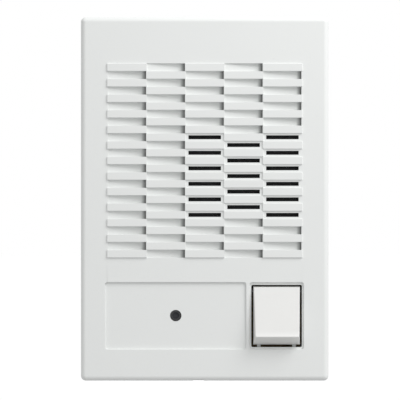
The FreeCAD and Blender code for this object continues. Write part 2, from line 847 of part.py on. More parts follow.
def make_rear_housing():
    """The moulded back plate that is screwed to the wall, with the rim that fits the cover."""
    rear = body("rear_housing")
    flange = sketch(rear)
    rounded(
        flange,
        S.case_width - 2 * S.flange_inset,
        S.case_height - 2 * S.flange_inset,
        S.case_corner,
    )
    pad(rear, flange, S.flange_height)
    round_edges(rear, S.flange_edge, lambda edge: abs(edge.BoundBox.ZMax) < NEAR, "Chamfer")
    rim = sketch(rear, out=S.flange_height - S.weld)
    rounded(rim, RIM_WIDTH, RIM_HEIGHT, S.inner_corner)
    pad(rear, rim, S.rim_height + S.weld)
    tray = sketch(rear, out=S.floor_wall)
    rounded(tray, RIM_WIDTH - 2 * S.rim_wall, RIM_HEIGHT - 2 * S.rim_wall, S.inner_corner)
    pocket(rear, tray, RIM_TOP - S.floor_wall + S.weld, outward=True)

    base = S.floor_wall - S.weld
    for side in (-1, 1):
        across = rectangle(
            sketch(rear, up=side * S.rib_spread / 2, out=base), RIM_WIDTH - S.rim_wall, S.rib_wall
        )
        pad(rear, across, S.rib_rise + S.weld)
    for side in (-1, 1):
        wall_pad = circle(sketch(rear, up=side * S.wall_hole_pitch / 2, out=base), S.wall_pad)
        pad(rear, wall_pad, S.wall_pad_rise + S.weld)
        wall_hole = circle(sketch(rear, up=side * S.wall_hole_pitch / 2), S.wall_hole)
        pocket(rear, wall_hole, RIM_TOP, outward=True)
    collar = sketch(rear, right=S.cable_right, up=S.cable_up, out=base)
    pad(rear, circle(collar, S.cable_hole + S.cable_collar), S.cable_collar_rise + S.weld)
    entry = sketch(rear, right=S.cable_right, up=S.cable_up)
    pocket(rear, circle(entry, S.cable_hole), RIM_TOP, outward=True)
    access = sketch(rear, right=S.trimmer_right, up=S.trimmer_up)
    pocket(rear, circle(access, S.trimmer_access), RIM_TOP, outward=True)

    window = sketch(rear, "XZ_Plane", right=-S.catch_spread / 2, up=RIM_HEIGHT / 2 + S.weld)
    rectangle(
        window,
        S.catch_width + 2 * S.catch_gap,
        S.catch_thick + 2 * S.catch_gap,
        0,
        S.catch_height + S.catch_thick / 2,
    )
    first = pocket(rear, window, S.rim_wall + 2 * S.weld, outward=True)
    grid(rear, first, (S.catch_spread, 0), (2, 1), False)

    tongue_foot = RIM_TOP - S.weld
    tongue_top = INNER_FACE - S.latch_gap
    rim_bottom = -RIM_HEIGHT / 2
    tongue = sketch(rear, "YZ_Plane", right=S.latch_right)
    nose_width = S.latch_width - 2 * S.latch_gap
    nose_foot = INNER_FACE - S.latch_slot + S.latch_gap
    nose_tip = rim_bottom - S.rim_gap - S.catch_depth
    outline(
        tongue,
        [
            (rim_bottom, tongue_foot), (rim_bottom + S.latch_thick, tongue_foot),
            (rim_bottom + S.latch_thick, tongue_top), (nose_tip, tongue_top - S.catch_depth / 2),
            (nose_tip, nose_foot), (rim_bottom, nose_foot),
        ],
    )
    pad(rear, tongue, nose_width, both=True)


# ---------------------------------------------------------------- talk button and switch


def make_talk_button():
    """The hollow wedge that is pressed, hinged on a pin near its top edge."""
    button = body("talk_button", S.button_right, S.panel_up)
    half = S.button_height / 2
    skirt = rectangle(sketch(button, out=BUTTON_BACK), S.button_width, S.button_height)
    pad(button, skirt, TAPER_START - BUTTON_BACK)
    crown = rectangle(sketch(button, out=TAPER_START), S.button_width, S.button_height)
    crown_height = S.case_depth + S.button_rise + S.button_spare - TAPER_START
    pad(button, crown, crown_height, taper=-S.button_draft)
    top = S.case_depth + S.button_top_rise
    crest = S.case_depth + S.button_rise
    bend = -half + S.button_foot + S.button_bend
    beyond = half + S.button_foot
    sky = crest + S.button_rise
    trim = outline(
        sketch(button, "YZ_Plane"),
        [
            (half, top), (bend, S.case_depth + S.button_bend_rise), (bend - S.button_bend, crest),
            (-half, TAPER_START), (-beyond, TAPER_START), (-beyond, sky), (beyond, sky), (beyond, top),
        ],
    )
    pocket(button, trim, 2 * S.button_width, both=True)

    def crest_edge(edge):
        box = edge.BoundBox
        return abs(box.ZMin - crest.value) < NEAR and box.YLength < NEAR

    def side_edge(edge):
        box = edge.BoundBox
        sloping = box.YLength > NEAR and box.ZLength > NEAR and edge.CenterOfMass.z > S.case_depth.value
        on_face = edge.CenterOfMass.y > (bend - S.button_bend).value
        return sloping and on_face and abs(edge.CenterOfMass.x) > S.button_width.value / 3

    round_edges(button, S.button_edge, lambda edge: crest_edge(edge) or side_edge(edge))

    inset = S.button_wall + slope(S.button_draft) * (crest - TAPER_START)
    roof_top = half - 2 * S.barrel_drop - S.button_wall
    roof_low = -half + S.button_foot + S.button_wall / 2
    cavity = outline(
        sketch(button, "YZ_Plane"),
        [
            (roof_top, BUTTON_BACK - S.weld), (roof_top, button_face(roof_top) - S.button_wall),
            (roof_low, button_face(roof_low) - S.button_wall), (-half + S.button_wall, TAPER_START),
            (-half + S.button_wall, BUTTON_BACK - S.weld),
        ],
    )
    pocket(button, cavity, S.button_width - 2 * inset, both=True)

    pin_up = half - S.barrel_drop
    barrel = circle(sketch(button, "YZ_Plane", up=pin_up, out=PIN_OUT), S.barrel)
    pad(button, barrel, S.button_width, both=True)
    bore = circle(sketch(button, "YZ_Plane", up=pin_up, out=PIN_OUT), S.pin + S.pin_play)
    pocket(button, bore, 2 * S.button_width, both=True)

    post = circle(sketch(button, up=-S.switch_drop, out=POST_END), S.post)
    pad(button, post, button_face(-S.switch_drop) - S.button_wall - POST_END + S.weld)
    peg = sketch(button, up=-S.spring_drop, out=S.board_front + S.peg_clear)
    roof = button_face(-S.spring_drop) - S.button_wall
    pad(button, circle(peg, S.peg), roof + S.weld - S.board_front - S.peg_clear)
    seat = sketch(button, up=-S.spring_drop, out=SPRING_SEAT)
    pad(button, circle(seat, S.spring_seat), roof + S.button_wall / 2 - SPRING_SEAT)

    lip_top = INNER_FACE - S.stop_gap
    lip = sketch(button, out=lip_top - S.stop_lip_thick)
    lip_height = S.stop_lip + S.button_wall / 2
    lip_right = (S.button_width - S.stop_lip_width) / 2 - S.stop_lip_inset
    for side in (-1, 1):
        rectangle(lip, S.stop_lip_width, lip_height, side * lip_right, -half - S.stop_lip + lip_height / 2)
    pad(button, lip, S.stop_lip_thick)


def make_button_pin():
    """The steel pin on which the button turns, held in the cover's two ears."""
    pin = body("button_pin", S.button_right, PIN_UP, PIN_OUT)
    rod = circle(sketch(pin, "YZ_Plane"), S.pin)
    pad(pin, rod, S.well_width + 2 * S.ear_wall, both=True)
    round_edges(pin, S.pin_edge, lambda edge: True, "Chamfer")


def make_talk_switch():
    """The push switch under the button: body, plunger, spring and four pins."""
    case = body("switch_body", S.button_right, SWITCH_UP)
    block = rectangle(sketch(case, out=S.board_front), S.switch_width, S.switch_width)
    pad(case, block, S.switch_height)
    chamber_wall = S.plunger_flange + S.chamber_gap
    turned(
        case,
        [
            (0, CHAMBER_FLOOR), (chamber_wall, CHAMBER_FLOOR), (chamber_wall, CHAMBER_TOP),
            (S.plunger + S.plunger_play, CHAMBER_TOP),
            (S.plunger + S.plunger_play, SWITCH_TOP + S.weld), (0, SWITCH_TOP + S.weld),
        ],
        cut=True,
    )
    round_edges(
        case,
        S.flange_edge,
        lambda edge: edge.BoundBox.ZLength > S.switch_height.value - NEAR
        and abs(edge.CenterOfMass.x) > S.switch_width.value / 3,
        "Chamfer",
    )
    plunger = body("switch_plunger", S.button_right, SWITCH_UP)
    turned(
        plunger,
        [
            (0, FLANGE_BOTTOM - S.plunger_tail), (S.plunger / 2, FLANGE_BOTTOM - S.plunger_tail),
            (S.plunger / 2, FLANGE_BOTTOM), (S.plunger_flange, FLANGE_BOTTOM),
            (S.plunger_flange, FLANGE_TOP), (S.plunger, FLANGE_TOP),
            (S.plunger, PLUNGER_TOP), (0, PLUNGER_TOP),
        ],
    )
    gap = S.spring_gap
    spring_coil(
        "switch_spring",
        S.plunger + S.chamber_gap,
        S.switch_wire,
        FLANGE_BOTTOM - CHAMBER_FLOOR - 2 * gap,
        S.switch_spring_turns,
        S.button_right,
        SWITCH_UP,
        CHAMBER_FLOOR + gap,
    )
    pins = body("switch_pins", S.button_right, SWITCH_UP)
    corner = -S.switch_pin_spread / 2
    first = circle(sketch(pins, right=corner, up=corner, out=S.board_front), S.switch_pin)
    spread = (S.switch_pin_spread, S.switch_pin_spread)
    grid(pins, pad(pins, first, S.board_thick + S.pin_stick, inward=True), spread, (2, 2))


def make_button_spring():
    """The spring that lifts the button; it stands on the board about the button's peg."""
    spring_coil(
        "button_spring",
        S.spring,
        S.spring_wire,
        SPRING_SEAT - S.board_front - 2 * S.spring_gap,
        S.spring_turns,
        S.button_right,
        SPRING_UP,
        S.board_front + S.spring_gap,
    )


# ---------------------------------------------------------------- microphone


def make_microphone():
    """A capsule in a rubber boot, with a felt plug in front and two leads to the board."""
    cavity = S.mic_can + S.mic_play
    boot_front = INNER_FACE - S.mic_play
    boot_back = boot_front - S.boot_length
    cavity_top = boot_front - S.boot_wall
    nose_tip = PANEL_FLOOR - S.mic_nose_sink
    boot = body("mic_boot", S.label_right, S.panel_up)
    turned(
        boot,
        [
            (S.mic_nose_bore, cavity_top), (cavity, cavity_top), (cavity, boot_back),
            (cavity + S.boot_wall, boot_back), (cavity + S.boot_wall, boot_front),
            (S.mic_nose, boot_front), (S.mic_nose, nose_tip), (S.mic_nose_bore, nose_tip),
        ],
    )
    felt = body("mic_felt", S.label_right, S.panel_up)
    felt_back = cavity_top - S.mic_play - S.felt_thick
    plug = S.mic_nose_bore - S.mic_play
    turned(
        felt,
        [
            (0, felt_back), (S.mic_can - S.boot_wall / 2, felt_back),
            (S.mic_can - S.boot_wall / 2, felt_back + S.felt_thick),
            (plug, felt_back + S.felt_thick), (plug, nose_tip - S.felt_sink), (0, nose_tip - S.felt_sink),
        ],
    )
    can_front = felt_back - S.mic_play
    can_back = can_front - S.mic_can_height
    can = body("mic_capsule", S.label_right, S.panel_up)
    lip, rim = S.mic_can_lip, S.mic_can - S.mic_can_rim
    turned(
        can,
        [
            (0, can_back + lip), (rim, can_back + lip), (rim, can_back),
            (S.mic_can - lip, can_back), (S.mic_can, can_back + lip),
            (S.mic_can, can_front - lip), (S.mic_can - lip, can_front), (0, can_front),
        ],
    )
    leads = body("mic_leads", S.label_right, S.panel_up)
    wire = sketch(leads, right=-S.mic_lead_pitch / 2, out=can_back + lip)
    length = can_back + lip - BOARD_BACK + S.solder_stick
    first = pad(leads, circle(wire, S.mic_lead), length, inward=True)
    grid(leads, first, (S.mic_lead_pitch, 0), (2, 1))


# ---------------------------------------------------------------- loudspeaker


def speaker_body(label):
    """A body on the speaker's axis."""
    return body(label, SPEAKER_RIGHT, SPEAKER_UP)


def make_speaker_frame():
    """The pressed basket with its windows, and the gasket and cloth in front of it."""
    cloth = speaker_body("grille_cloth")
    disc = circle(sketch(cloth, out=INNER_FACE), S.speaker - S.cloth_gap)
    pad(cloth, disc, S.cloth, inward=True)
    gasket = speaker_body("speaker_gasket")
    ring = sketch(gasket, out=GASKET_BACK)
    circle(ring, GASKET_INNER)
    circle(ring, S.speaker)
    pad(gasket, ring, S.gasket)

    basket = speaker_body("speaker_basket")
    steel = S.speaker_steel
    turned(
        basket,
        [
            (S.magnet_bore, BASKET_BACK), (S.basket_neck, BASKET_BACK), (BASKET_INNER + steel, FLANGE_BACK),
            (S.speaker, FLANGE_BACK), (S.speaker, FLANGE_FRONT), (BASKET_INNER, FLANGE_FRONT),
            (BASKET_INNER, FLANGE_BACK), (S.basket_neck - steel, BASKET_FLOOR), (S.magnet_bore, BASKET_FLOOR),
        ],
    )
    window = sketch(basket, out=BASKET_FLOOR + steel)
    middle = (S.basket_neck + BASKET_INNER) / 2
    rectangle(window, S.basket_window, S.basket_window * 2, middle, 0)
    first = pocket(basket, window, S.basket_depth - 3 * steel, outward=True)
    around(basket, first, window, BASKET_WINDOWS, False)
    tab = outline(
        sketch(basket, out=BASKET_BACK),
        [
            (-S.basket_neck + steel, -S.strip_width / 2), (-S.basket_neck + steel, S.strip_width / 2),
            (-S.strip_reach, S.strip_width / 2), (-S.strip_reach, -S.strip_width / 2),
        ],
    )
    pad(basket, tab, steel)


def make_speaker_motor():
    """Top plate, magnet and yoke with its pole."""
    plate = speaker_body("speaker_top_plate")
    washer = sketch(plate, out=PLATE_BACK)
    circle(washer, S.top_plate)
    circle(washer, COIL_OUTSIDE + S.coil_gap)
    pad(plate, washer, S.plate_thick)
    magnet = speaker_body("speaker_magnet")
    ring = sketch(magnet, out=MAGNET_BACK)
    circle(ring, S.magnet)
    circle(ring, S.magnet_bore)
    pad(magnet, ring, S.magnet_height)
    round_edges(
        magnet,
        S.flange_edge,
        lambda edge: edge.BoundBox.XLength > 2 * S.magnet.value - NEAR,
        "Chamfer",
    )
    yoke = speaker_body("speaker_yoke")
    turned(
        yoke,
        [
            (0, YOKE_BACK), (S.yoke - S.flange_edge, YOKE_BACK), (S.yoke, YOKE_BACK + S.flange_edge),
            (S.yoke, MAGNET_BACK), (POLE, MAGNET_BACK), (POLE, BASKET_BACK), (0, BASKET_BACK),
        ],
    )


def make_speaker_diaphragm():
    """Voice coil, cone and dust cap, which move, and the surround and spider that hold them."""
    coil = speaker_body("voice_coil")
    former = S.coil + S.coil_paper
    winding_foot = COIL_BOTTOM + S.coil_wire
    turned(
        coil,
        [
            (S.coil, COIL_BOTTOM), (former, COIL_BOTTOM), (former, winding_foot),
            (COIL_OUTSIDE, winding_foot), (COIL_OUTSIDE, winding_foot + S.coil_winding),
            (former, winding_foot + S.coil_winding), (former, CONE_BASE), (S.coil, CONE_BASE),
        ],
    )
    cone = speaker_body("speaker_cone")
    paper = S.cone_paper
    turned(
        cone,
        [
            (CONE_NECK, CONE_BASE - paper), (CONE_NECK + paper, CONE_BASE - paper),
            (S.cone, CONE_EDGE - paper), (S.cone + S.cone_land, CONE_EDGE - paper),
            (S.cone + S.cone_land, CONE_EDGE), (S.cone, CONE_EDGE), (CONE_NECK, CONE_BASE + paper),
        ],
    )
    cap = speaker_body("speaker_dust_cap")
    fall = (CONE_EDGE - CONE_BASE - paper) / (S.cone - CONE_NECK)
    cap_edge = CONE_NECK + 2 * S.cap_land
    cap_foot = CONE_BASE + paper + fall * (cap_edge - CONE_NECK)
    dome = (cap_edge * cap_edge + S.cap_height * S.cap_height) / (2 * S.cap_height)
    inner_edge = cap_edge - paper
    inner_height = S.cap_height - paper
    inner_dome = (inner_edge * inner_edge + inner_height * inner_height) / (2 * inner_height)
    turned(
        cap,
        [
            (inner_edge, cap_foot), (cap_edge, cap_foot), (0, cap_foot + S.cap_height),
            (0, cap_foot + inner_height),
        ],
        arcs={1: (dome, 1), 3: (inner_dome, -1)},
    )

    surround = speaker_body("speaker_surround")
    thin = S.surround_paper
    land = S.speaker - S.surround_land
    cone_land = S.cone + S.cone_land / 2
    span = (land - cone_land) / 2
    roll = (span * span + S.surround_rise * S.surround_rise) / (2 * S.surround_rise)
    under_span = span - thin
    rise = S.surround_rise
    under = (under_span * under_span + rise * rise) / (2 * rise)
    turned(
        surround,
        [
            (S.cone, FLANGE_FRONT), (cone_land + thin, FLANGE_FRONT), (land - thin, FLANGE_FRONT),
            (S.speaker, FLANGE_FRONT), (S.speaker, FLANGE_FRONT + thin), (land, FLANGE_FRONT + thin),
            (cone_land, FLANGE_FRONT + thin), (S.cone, FLANGE_FRONT + thin),
        ],
        arcs={1: (under, -1), 5: (roll, 1)},
    )
    spider = speaker_body("speaker_spider")
    cloth = S.spider_cloth
    step = (S.spider - former) / SPIDER_STEPS
    low = BASKET_FLOOR
    high = BASKET_FLOOR + S.spider_rise
    turned(
        spider,
        [
            (S.spider + cloth, low), (S.spider + cloth, low + cloth), (S.spider - step, low + cloth),
            (S.spider - 2 * step, high + cloth), (S.spider - 3 * step, low + 2 * cloth),
            (S.spider - 4 * step, high + cloth), (former, high + cloth),
            (former, high), (S.spider - 4 * step, high), (S.spider - 3 * step, low + cloth),
            (S.spider - 2 * step, high), (S.spider - step, low),
        ],
    )


def make_speaker_fittings():
    """Terminal strip with its tags, and the washers and screws that clamp the basket."""
    strip = speaker_body("speaker_terminal_strip")
    middle = -(S.strip_start + S.strip_reach) / 2
    board = rectangle(
        sketch(strip, right=middle, out=STRIP_FRONT), S.strip_reach - S.strip_start, S.strip_width
    )
    pad(strip, board, S.strip_thick, inward=True)
    tags = speaker_body("speaker_tags")
    lug = sketch(tags, right=middle - S.tag_pitch / 2, out=STRIP_BACK)
    rectangle(lug, S.tag_width, S.strip_width - 4 * S.tag_thick)
    foot = pad(tags, lug, S.tag_thick, inward=True)
    blade = sketch(tags, right=middle - S.tag_pitch / 2, out=STRIP_BACK - S.tag_thick / 2)
    rectangle(blade, S.tag_width, S.tag_thick)
    upright = pad(tags, blade, S.tag_drop - S.tag_thick / 2, inward=True)
    grid(tags, [foot, upright], (S.tag_pitch, 0), (2, 1))

    clamps = speaker_body("speaker_clamps")
    washer = sketch(clamps, out=FLANGE_BACK)
    circle(washer, S.clamp, -S.clamp_circle)
    circle(washer, S.screw + S.board_hole_gap, -S.clamp_circle)
    around(clamps, pad(clamps, washer, S.clamp_steel, inward=True), washer, CLAMP_COUNT)
    clamp_length = INNER_FACE - FLANGE_BACK + S.clamp_steel - S.seam_gap
    screws("speaker_screws", FLANGE_BACK - S.clamp_steel, clamp_length, SPEAKER_RIGHT, SPEAKER_UP)


# ---------------------------------------------------------------- screws


def screw_profile(seat, length):
    """Half the outline of a pan-head screw whose head bears towards the front at a level."""
    crown = S.screw_head_height / 3
    return [
        (0, seat - S.screw_head_height), (S.screw_head - crown, seat - S.screw_head_height),
        (S.screw_head, seat - S.screw_head_height + crown), (S.screw_head, seat),
        (S.screw, seat), (S.screw, seat + length - S.screw), (S.screw_tip, seat + length),
        (0, seat + length),
    ]


def screws(label, seat, length, right, up):
    """Three screws on the clamp circle, driven from behind."""
    item = body(label, right, up)
    shank = turned(item, screw_profile(seat, length), right=-S.clamp_circle)
    hub = sketch(item, out=seat - S.screw_head_height)
    rectangle(hub, 3 * S.screw_head, S.screw_slot, -S.clamp_circle, 0)
    slot = pocket(item, hub, S.screw_slot_depth, outward=True)
    around(item, [shank, slot], hub, CLAMP_COUNT)


def make_board_screws():
    """Four screws that hold the board to the cover's bosses."""
    item = body("board_screws", -S.board_hole_spread / 2, S.board_up - S.board_hole_rise / 2)
    length = S.board_thick + S.screw_length - S.screw / 2
    shank = turned(item, screw_profile(BOARD_BACK, length))
    drive = sketch(item, out=BOARD_BACK - S.screw_head_height)
    slot = pocket(item, rectangle(drive, 3 * S.screw_head, S.screw_slot), S.screw_slot_depth, outward=True)
    grid(item, [shank, slot], (S.board_hole_spread, S.board_hole_rise), (2, 2))


# ---------------------------------------------------------------- circuit board


def board_holes(board, radius, right, up, steps=(0, 0), counts=(1, 1)):
    """Drill the board where a screw, pin or lead passes."""
    drawing = circle(sketch(board, right=right, up=up, out=S.board_front), radius)
    made = pocket(board, drawing, S.board_thick + S.weld)
    if counts != (1, 1):
        grid(board, made, steps, counts, False)


def make_circuit_board():
    """The board on its four bosses, drilled for the screws, the switch, the mic and the leads."""
    board = body("circuit_board")
    plate = rectangle(sketch(board, up=S.board_up, out=BOARD_BACK), S.board_width, S.board_height)
    pad(board, plate, S.board_thick)
    board_holes(
        board,
        S.screw + S.board_hole_gap,
        -S.board_hole_spread / 2,
        S.board_up - S.board_hole_rise / 2,
        (S.board_hole_spread, S.board_hole_rise),
        (2, 2),
    )
    board_holes(
        board,
        S.switch_pin + S.lead_hole_gap,
        S.button_right - S.switch_pin_spread / 2,
        SWITCH_UP - S.switch_pin_spread / 2,
        (S.switch_pin_spread, S.switch_pin_spread),
        (2, 2),
    )
    board_holes(
        board,
        S.mic_lead + S.lead_hole_gap,
        S.label_right - S.mic_lead_pitch / 2,
        S.panel_up,
        (S.mic_lead_pitch, 0),
        (2, 1),
    )
    board_holes(
        board,
        S.lead + S.lead_hole_gap,
        lead_right(),
        BOARD_TOP - S.lead_board_inset,
        (S.tag_pitch, 0),
        (2, 1),
    )


def lead_right():
    """The place of the first speaker lead, beside its tag."""
    return SPEAKER_RIGHT - (S.strip_start + S.strip_reach) / 2 - S.tag_pitch / 2


def make_speaker_leads():
    """Two insulated leads from the speaker's tags down to the board."""
    leads = body("speaker_leads", lead_right(), 0, 0)
    start_up = SPEAKER_UP - S.tag_thick / 2
    end_up = BOARD_TOP - S.lead_board_inset
    path = sketch(leads, "YZ_Plane")
    outline(
        path,
        [
            (start_up, LEAD_LEVEL), (end_up + S.lead_bend, LEAD_LEVEL),
            (end_up, LEAD_LEVEL + S.lead_bend), (end_up, S.board_front),
        ],
        arcs={1: (S.lead_bend, -1)},
        closed=False,
    )
    section = circle(sketch(leads, "XZ_Plane", up=start_up), S.lead, 0, LEAD_LEVEL)
    made = feature(leads, "AdditivePipe", section)
    made.Spine = (path, [])
    settle(leads, made, True)
    grid(leads, made, (S.tag_pitch, 0), (2, 1))


def make_terminal_block():
    """The field wiring block with its clamp screws, facing the rear."""
    block = body("terminal_block", S.block_right, S.block_up)
    width = BLOCK_POLES * S.block_pitch
    shell = rectangle(sketch(block, out=BOARD_BACK), width, S.block_height)
    pad(block, shell, S.block_depth, inward=True)
    back = BOARD_BACK - S.block_depth
    first_pole = -(BLOCK_POLES - 1) / 2 * S.block_pitch
    well = circle(sketch(block, right=first_pole, out=back), S.block_screw + S.block_screw_gap)
    depth = S.block_screw_sink + S.block_screw_length
    grid(block, pocket(block, well, depth, outward=True), (S.block_pitch, 0), (BLOCK_POLES, 1), False)
    mouth = sketch(block, "XZ_Plane", up=S.block_height / 2)
    rectangle(mouth, S.block_entry, S.block_entry, first_pole, back + depth + S.block_entry / 2)
    first = pocket(block, mouth, S.block_entry_depth, outward=True)
    grid(block, first, (S.block_pitch, 0), (BLOCK_POLES, 1), False)

    item = body("terminal_screws", S.block_right + first_pole, S.block_up)
    head = back + S.block_screw_sink
    shank = pad(item, circle(sketch(item, out=head), S.block_screw), S.block_screw_length)
    drive = rectangle(sketch(item, out=head), 3 * S.block_screw, S.screw_slot)
    slot = pocket(item, drive, S.screw_slot_depth, outward=True)
    grid(item, [shank, slot], (S.block_pitch, 0), (BLOCK_POLES, 1))


def make_amplifier_chip():
    """An eight-pin amplifier with its legs bent down to the board."""
    chip = body("amplifier_chip", S.chip_right, S.chip_up)
    top = BOARD_BACK - S.chip_stand
    pad(chip, rectangle(sketch(chip, out=top), S.chip_length, S.chip_width), S.chip_height, inward=True)
    notch = circle(sketch(chip, right=-S.chip_length / 2, out=top - S.chip_height), S.chip_notch)
    pocket(chip, notch, S.chip_stand, outward=True)
    legs = body("chip_pins", S.chip_right, S.chip_up)
    first = -(CHIP_PINS - 1) / 2 * S.chip_pin_pitch
    shoulder = top - S.chip_height / 2
    for side in (-1, 1):
        outer = side * S.chip_pin_row / 2
        inner = outer - side * S.chip_pin_thick
        profile = outline(
            sketch(legs, "YZ_Plane", right=first),
            [
                (side * S.chip_width / 2, shoulder), (outer, shoulder), (outer, BOARD_BACK),
                (inner, BOARD_BACK), (inner, shoulder + S.chip_pin_thick),
                (side * S.chip_width / 2, shoulder + S.chip_pin_thick),
            ],
        )
        made = pad(legs, profile, S.chip_pin_width, both=True)
        grid(legs, made, (S.chip_pin_pitch, 0), (CHIP_PINS, 1))


def capacitor_cans(label, radius, height, right, up, pitch, count):
    """Upright cans on the board's rear, each with a crimped bead near its foot."""
    item = body(label, right, up)
    foot, bead = BOARD_BACK, S.can_bead
    bead_top = foot - S.can_bead_up
    edge = bead / 2
    made = turned(
        item,
        [
            (0, foot), (radius, foot), (radius, bead_top), (radius - bead, bead_top - bead),
            (radius, bead_top - 2 * bead), (radius, foot - height + edge),
            (radius - edge, foot - height), (0, foot - height),
        ],
    )
    grid(item, made, (pitch, 0), (count, 1))


def make_capacitors():
    """Electrolytic cans, film boxes and ceramic discs."""
    capacitor_cans("large_capacitors", S.can, S.can_height, S.can_right, S.can_up, S.can_pitch, CAN_COUNT)
    capacitor_cans(
        "small_capacitors",
        S.small_can,
        S.small_can_height,
        S.small_can_right,
        S.small_can_up,
        S.small_can_pitch,
        SMALL_CAN_COUNT,
    )
    films = body("film_capacitors", S.film_right, S.film_up)
    box = rectangle(sketch(films, out=BOARD_BACK), S.film_thick, S.film_length)
    made = pad(films, box, S.film_height, inward=True)
    grid(films, made, (S.film_pitch, 0), (FILM_COUNT, 1))
    discs = body("disc_capacitors", S.disc_right, S.disc_up)
    centre = BOARD_BACK - S.disc_stand - S.disc
    drum = circle(sketch(discs, "YZ_Plane", out=centre), S.disc)
    parts = [pad(discs, drum, S.disc_thick, both=True)]
    for side in (-1, 1):
        stem = circle(sketch(discs, up=side * S.disc / 2, out=BOARD_BACK), S.thin_lead)
        parts.append(pad(discs, stem, S.disc_stand + S.disc / 2, inward=True))
    grid(discs, parts, (0, S.disc_pitch), (1, DISC_COUNT))


def make_resistors():
    """Resistors lying on the board, each with its two bent leads."""
    item = body("resistors", S.resistor_right, S.resistor_up)
    level = BOARD_BACK - S.resistor_stand - S.resistor
    rod = circle(sketch(item, "XZ_Plane"), S.resistor, 0, level)
    parts = [pad(item, rod, S.resistor_length, both=True)]
    wire = circle(sketch(item, "XZ_Plane"), S.thin_lead, 0, level)
    parts.append(pad(item, wire, S.resistor_span + 2 * S.thin_lead, both=True))
    for side in (-1, 1):
        drop = circle(sketch(item, up=side * S.resistor_span / 2, out=BOARD_BACK), S.thin_lead)
        parts.append(pad(item, drop, BOARD_BACK - level, inward=True))
    grid(item, parts, (S.resistor_pitch, 0), (RESISTOR_COUNT, 1))


def make_transistors():
    """Small plastic transistors standing on three leads."""
    item = body("transistors", S.transistor_right, S.transistor_up)
    foot = BOARD_BACK - S.transistor_stand
    flat = S.transistor_flat
    across = math.sqrt(S.transistor.value ** 2 - flat.value ** 2)
    chord = Size(across, f"sqrt({S.transistor.formula} ^ 2 - {flat.formula} ^ 2)")
    shape = outline(
        sketch(item, out=foot),
        [(-chord, -flat), (chord, -flat), (0, S.transistor)],
        arcs={1: (S.transistor, 1), 2: (S.transistor, 1)},
    )
    parts = [pad(item, shape, S.transistor_height, inward=True)]
    for number in (-1, 0, 1):
        leg = circle(sketch(item, right=number * S.transistor_flat, out=BOARD_BACK), S.thin_lead)
        parts.append(pad(item, leg, S.transistor_stand + S.thin_lead, inward=True))
    grid(item, parts, (S.transistor_pitch, 0), (TRANSISTOR_COUNT, 1))


def make_transformer():
    """A small coupling transformer: laminated core and the winding on its middle leg."""
    core = body("transformer_core", S.core_right, S.core_up)
    front = BOARD_BACK - S.core_stand
    pad(core, rectangle(sketch(core, out=front), S.core_width, S.core_height), S.core_depth, inward=True)
    offset = (S.core_leg + S.core_window) / 2
    window_height = S.core_height - S.core_leg
    for side in (-1, 1):
        window = rectangle(sketch(core, right=side * offset, out=front), S.core_window, window_height)
        pocket(core, window, S.core_depth + S.weld)
    winding = body("transformer_winding", S.core_right, S.core_up)
    gap = S.winding_gap
    reach = S.core_leg / 2 + S.core_window - gap
    back = front - S.core_depth - S.core_stand + gap
    coil = sketch(winding, out=BOARD_BACK)
    rectangle(coil, 2 * reach, window_height - 2 * gap)
    pad(winding, coil, BOARD_BACK - back, inward=True)
    tunnel = sketch(winding, out=front + gap)
    rectangle(tunnel, S.core_leg + 2 * gap, window_height + 2 * gap)
    pocket(winding, tunnel, S.core_depth + 2 * gap)


def make_trimmer():
    """The volume trimmer and its slotted rotor, reached through the rear housing."""
    case = body("trimmer_body", S.trimmer_right, S.trimmer_up)
    square = rectangle(sketch(case, out=BOARD_BACK), S.trimmer_width, S.trimmer_width)
    pad(case, square, S.trimmer_depth, inward=True)
    back = BOARD_BACK - S.trimmer_depth
    seat = circle(sketch(case, out=back), S.rotor + S.rotor_play)
    pocket(case, seat, S.rotor_thick + S.rotor_sink + S.rotor_play, outward=True)
    rotor = body("trimmer_rotor", S.trimmer_right, S.trimmer_up)
    level = back + S.rotor_sink
    pad(rotor, circle(sketch(rotor, out=level), S.rotor), S.rotor_thick)
    slot = rectangle(sketch(rotor, out=level), 2 * (S.rotor - S.rotor_slot_inset), S.rotor_slot)
    pocket(rotor, slot, S.rotor_slot_depth, outward=True)


# ---------------------------------------------------------------- build and write


def build():
    """Make every sub-part."""
    make_front_cover()
    make_rear_housing()
    make_talk_button()
    make_button_pin()
    make_talk_switch()
    make_button_spring()
    make_microphone()
    make_speaker_frame()
    make_speaker_motor()
    make_speaker_diaphragm()
    make_speaker_fittings()
    make_board_screws()
    make_circuit_board()
    make_speaker_leads()
    make_terminal_block()
    make_amplifier_chip()
    make_capacitors()
    make_resistors()
    make_transistors()
    make_transformer()
    make_trimmer()


def check_document():
    """Stop if any object failed or any sub-part has no sound shape."""
    document.recompute()
    for item in document.Objects:
        if "Invalid" in item.State or "Error" in item.State:
            raise RuntimeError(f"{item.Name} failed: {item.State}")
    bodies = [item for item in document.Objects if item.TypeId == "PartDesign::Body"]
    for item in bodies:
        if item.Shape.isNull() or not item.Shape.isValid() or not item.Shape.Solids:
            raise RuntimeError(f"{item.Label} has no valid shape")
    return bodies


def write_parts(bodies):
    """Write one STEP file for each sub-part."""
    os.makedirs("parts", exist_ok=True)
    for item in bodies:
        item.Shape.exportStep(f"parts/{item.Label}.step")
        box = item.Shape.BoundBox
        print(f"{item.Label}: {len(item.Shape.Solids)} solids, {item.Shape.Volume:.1f} mm3, "
              f"{box.XLength:.1f} x {box.YLength:.1f} x {box.ZLength:.1f}")


build()
write_parts(check_document())
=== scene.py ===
import math

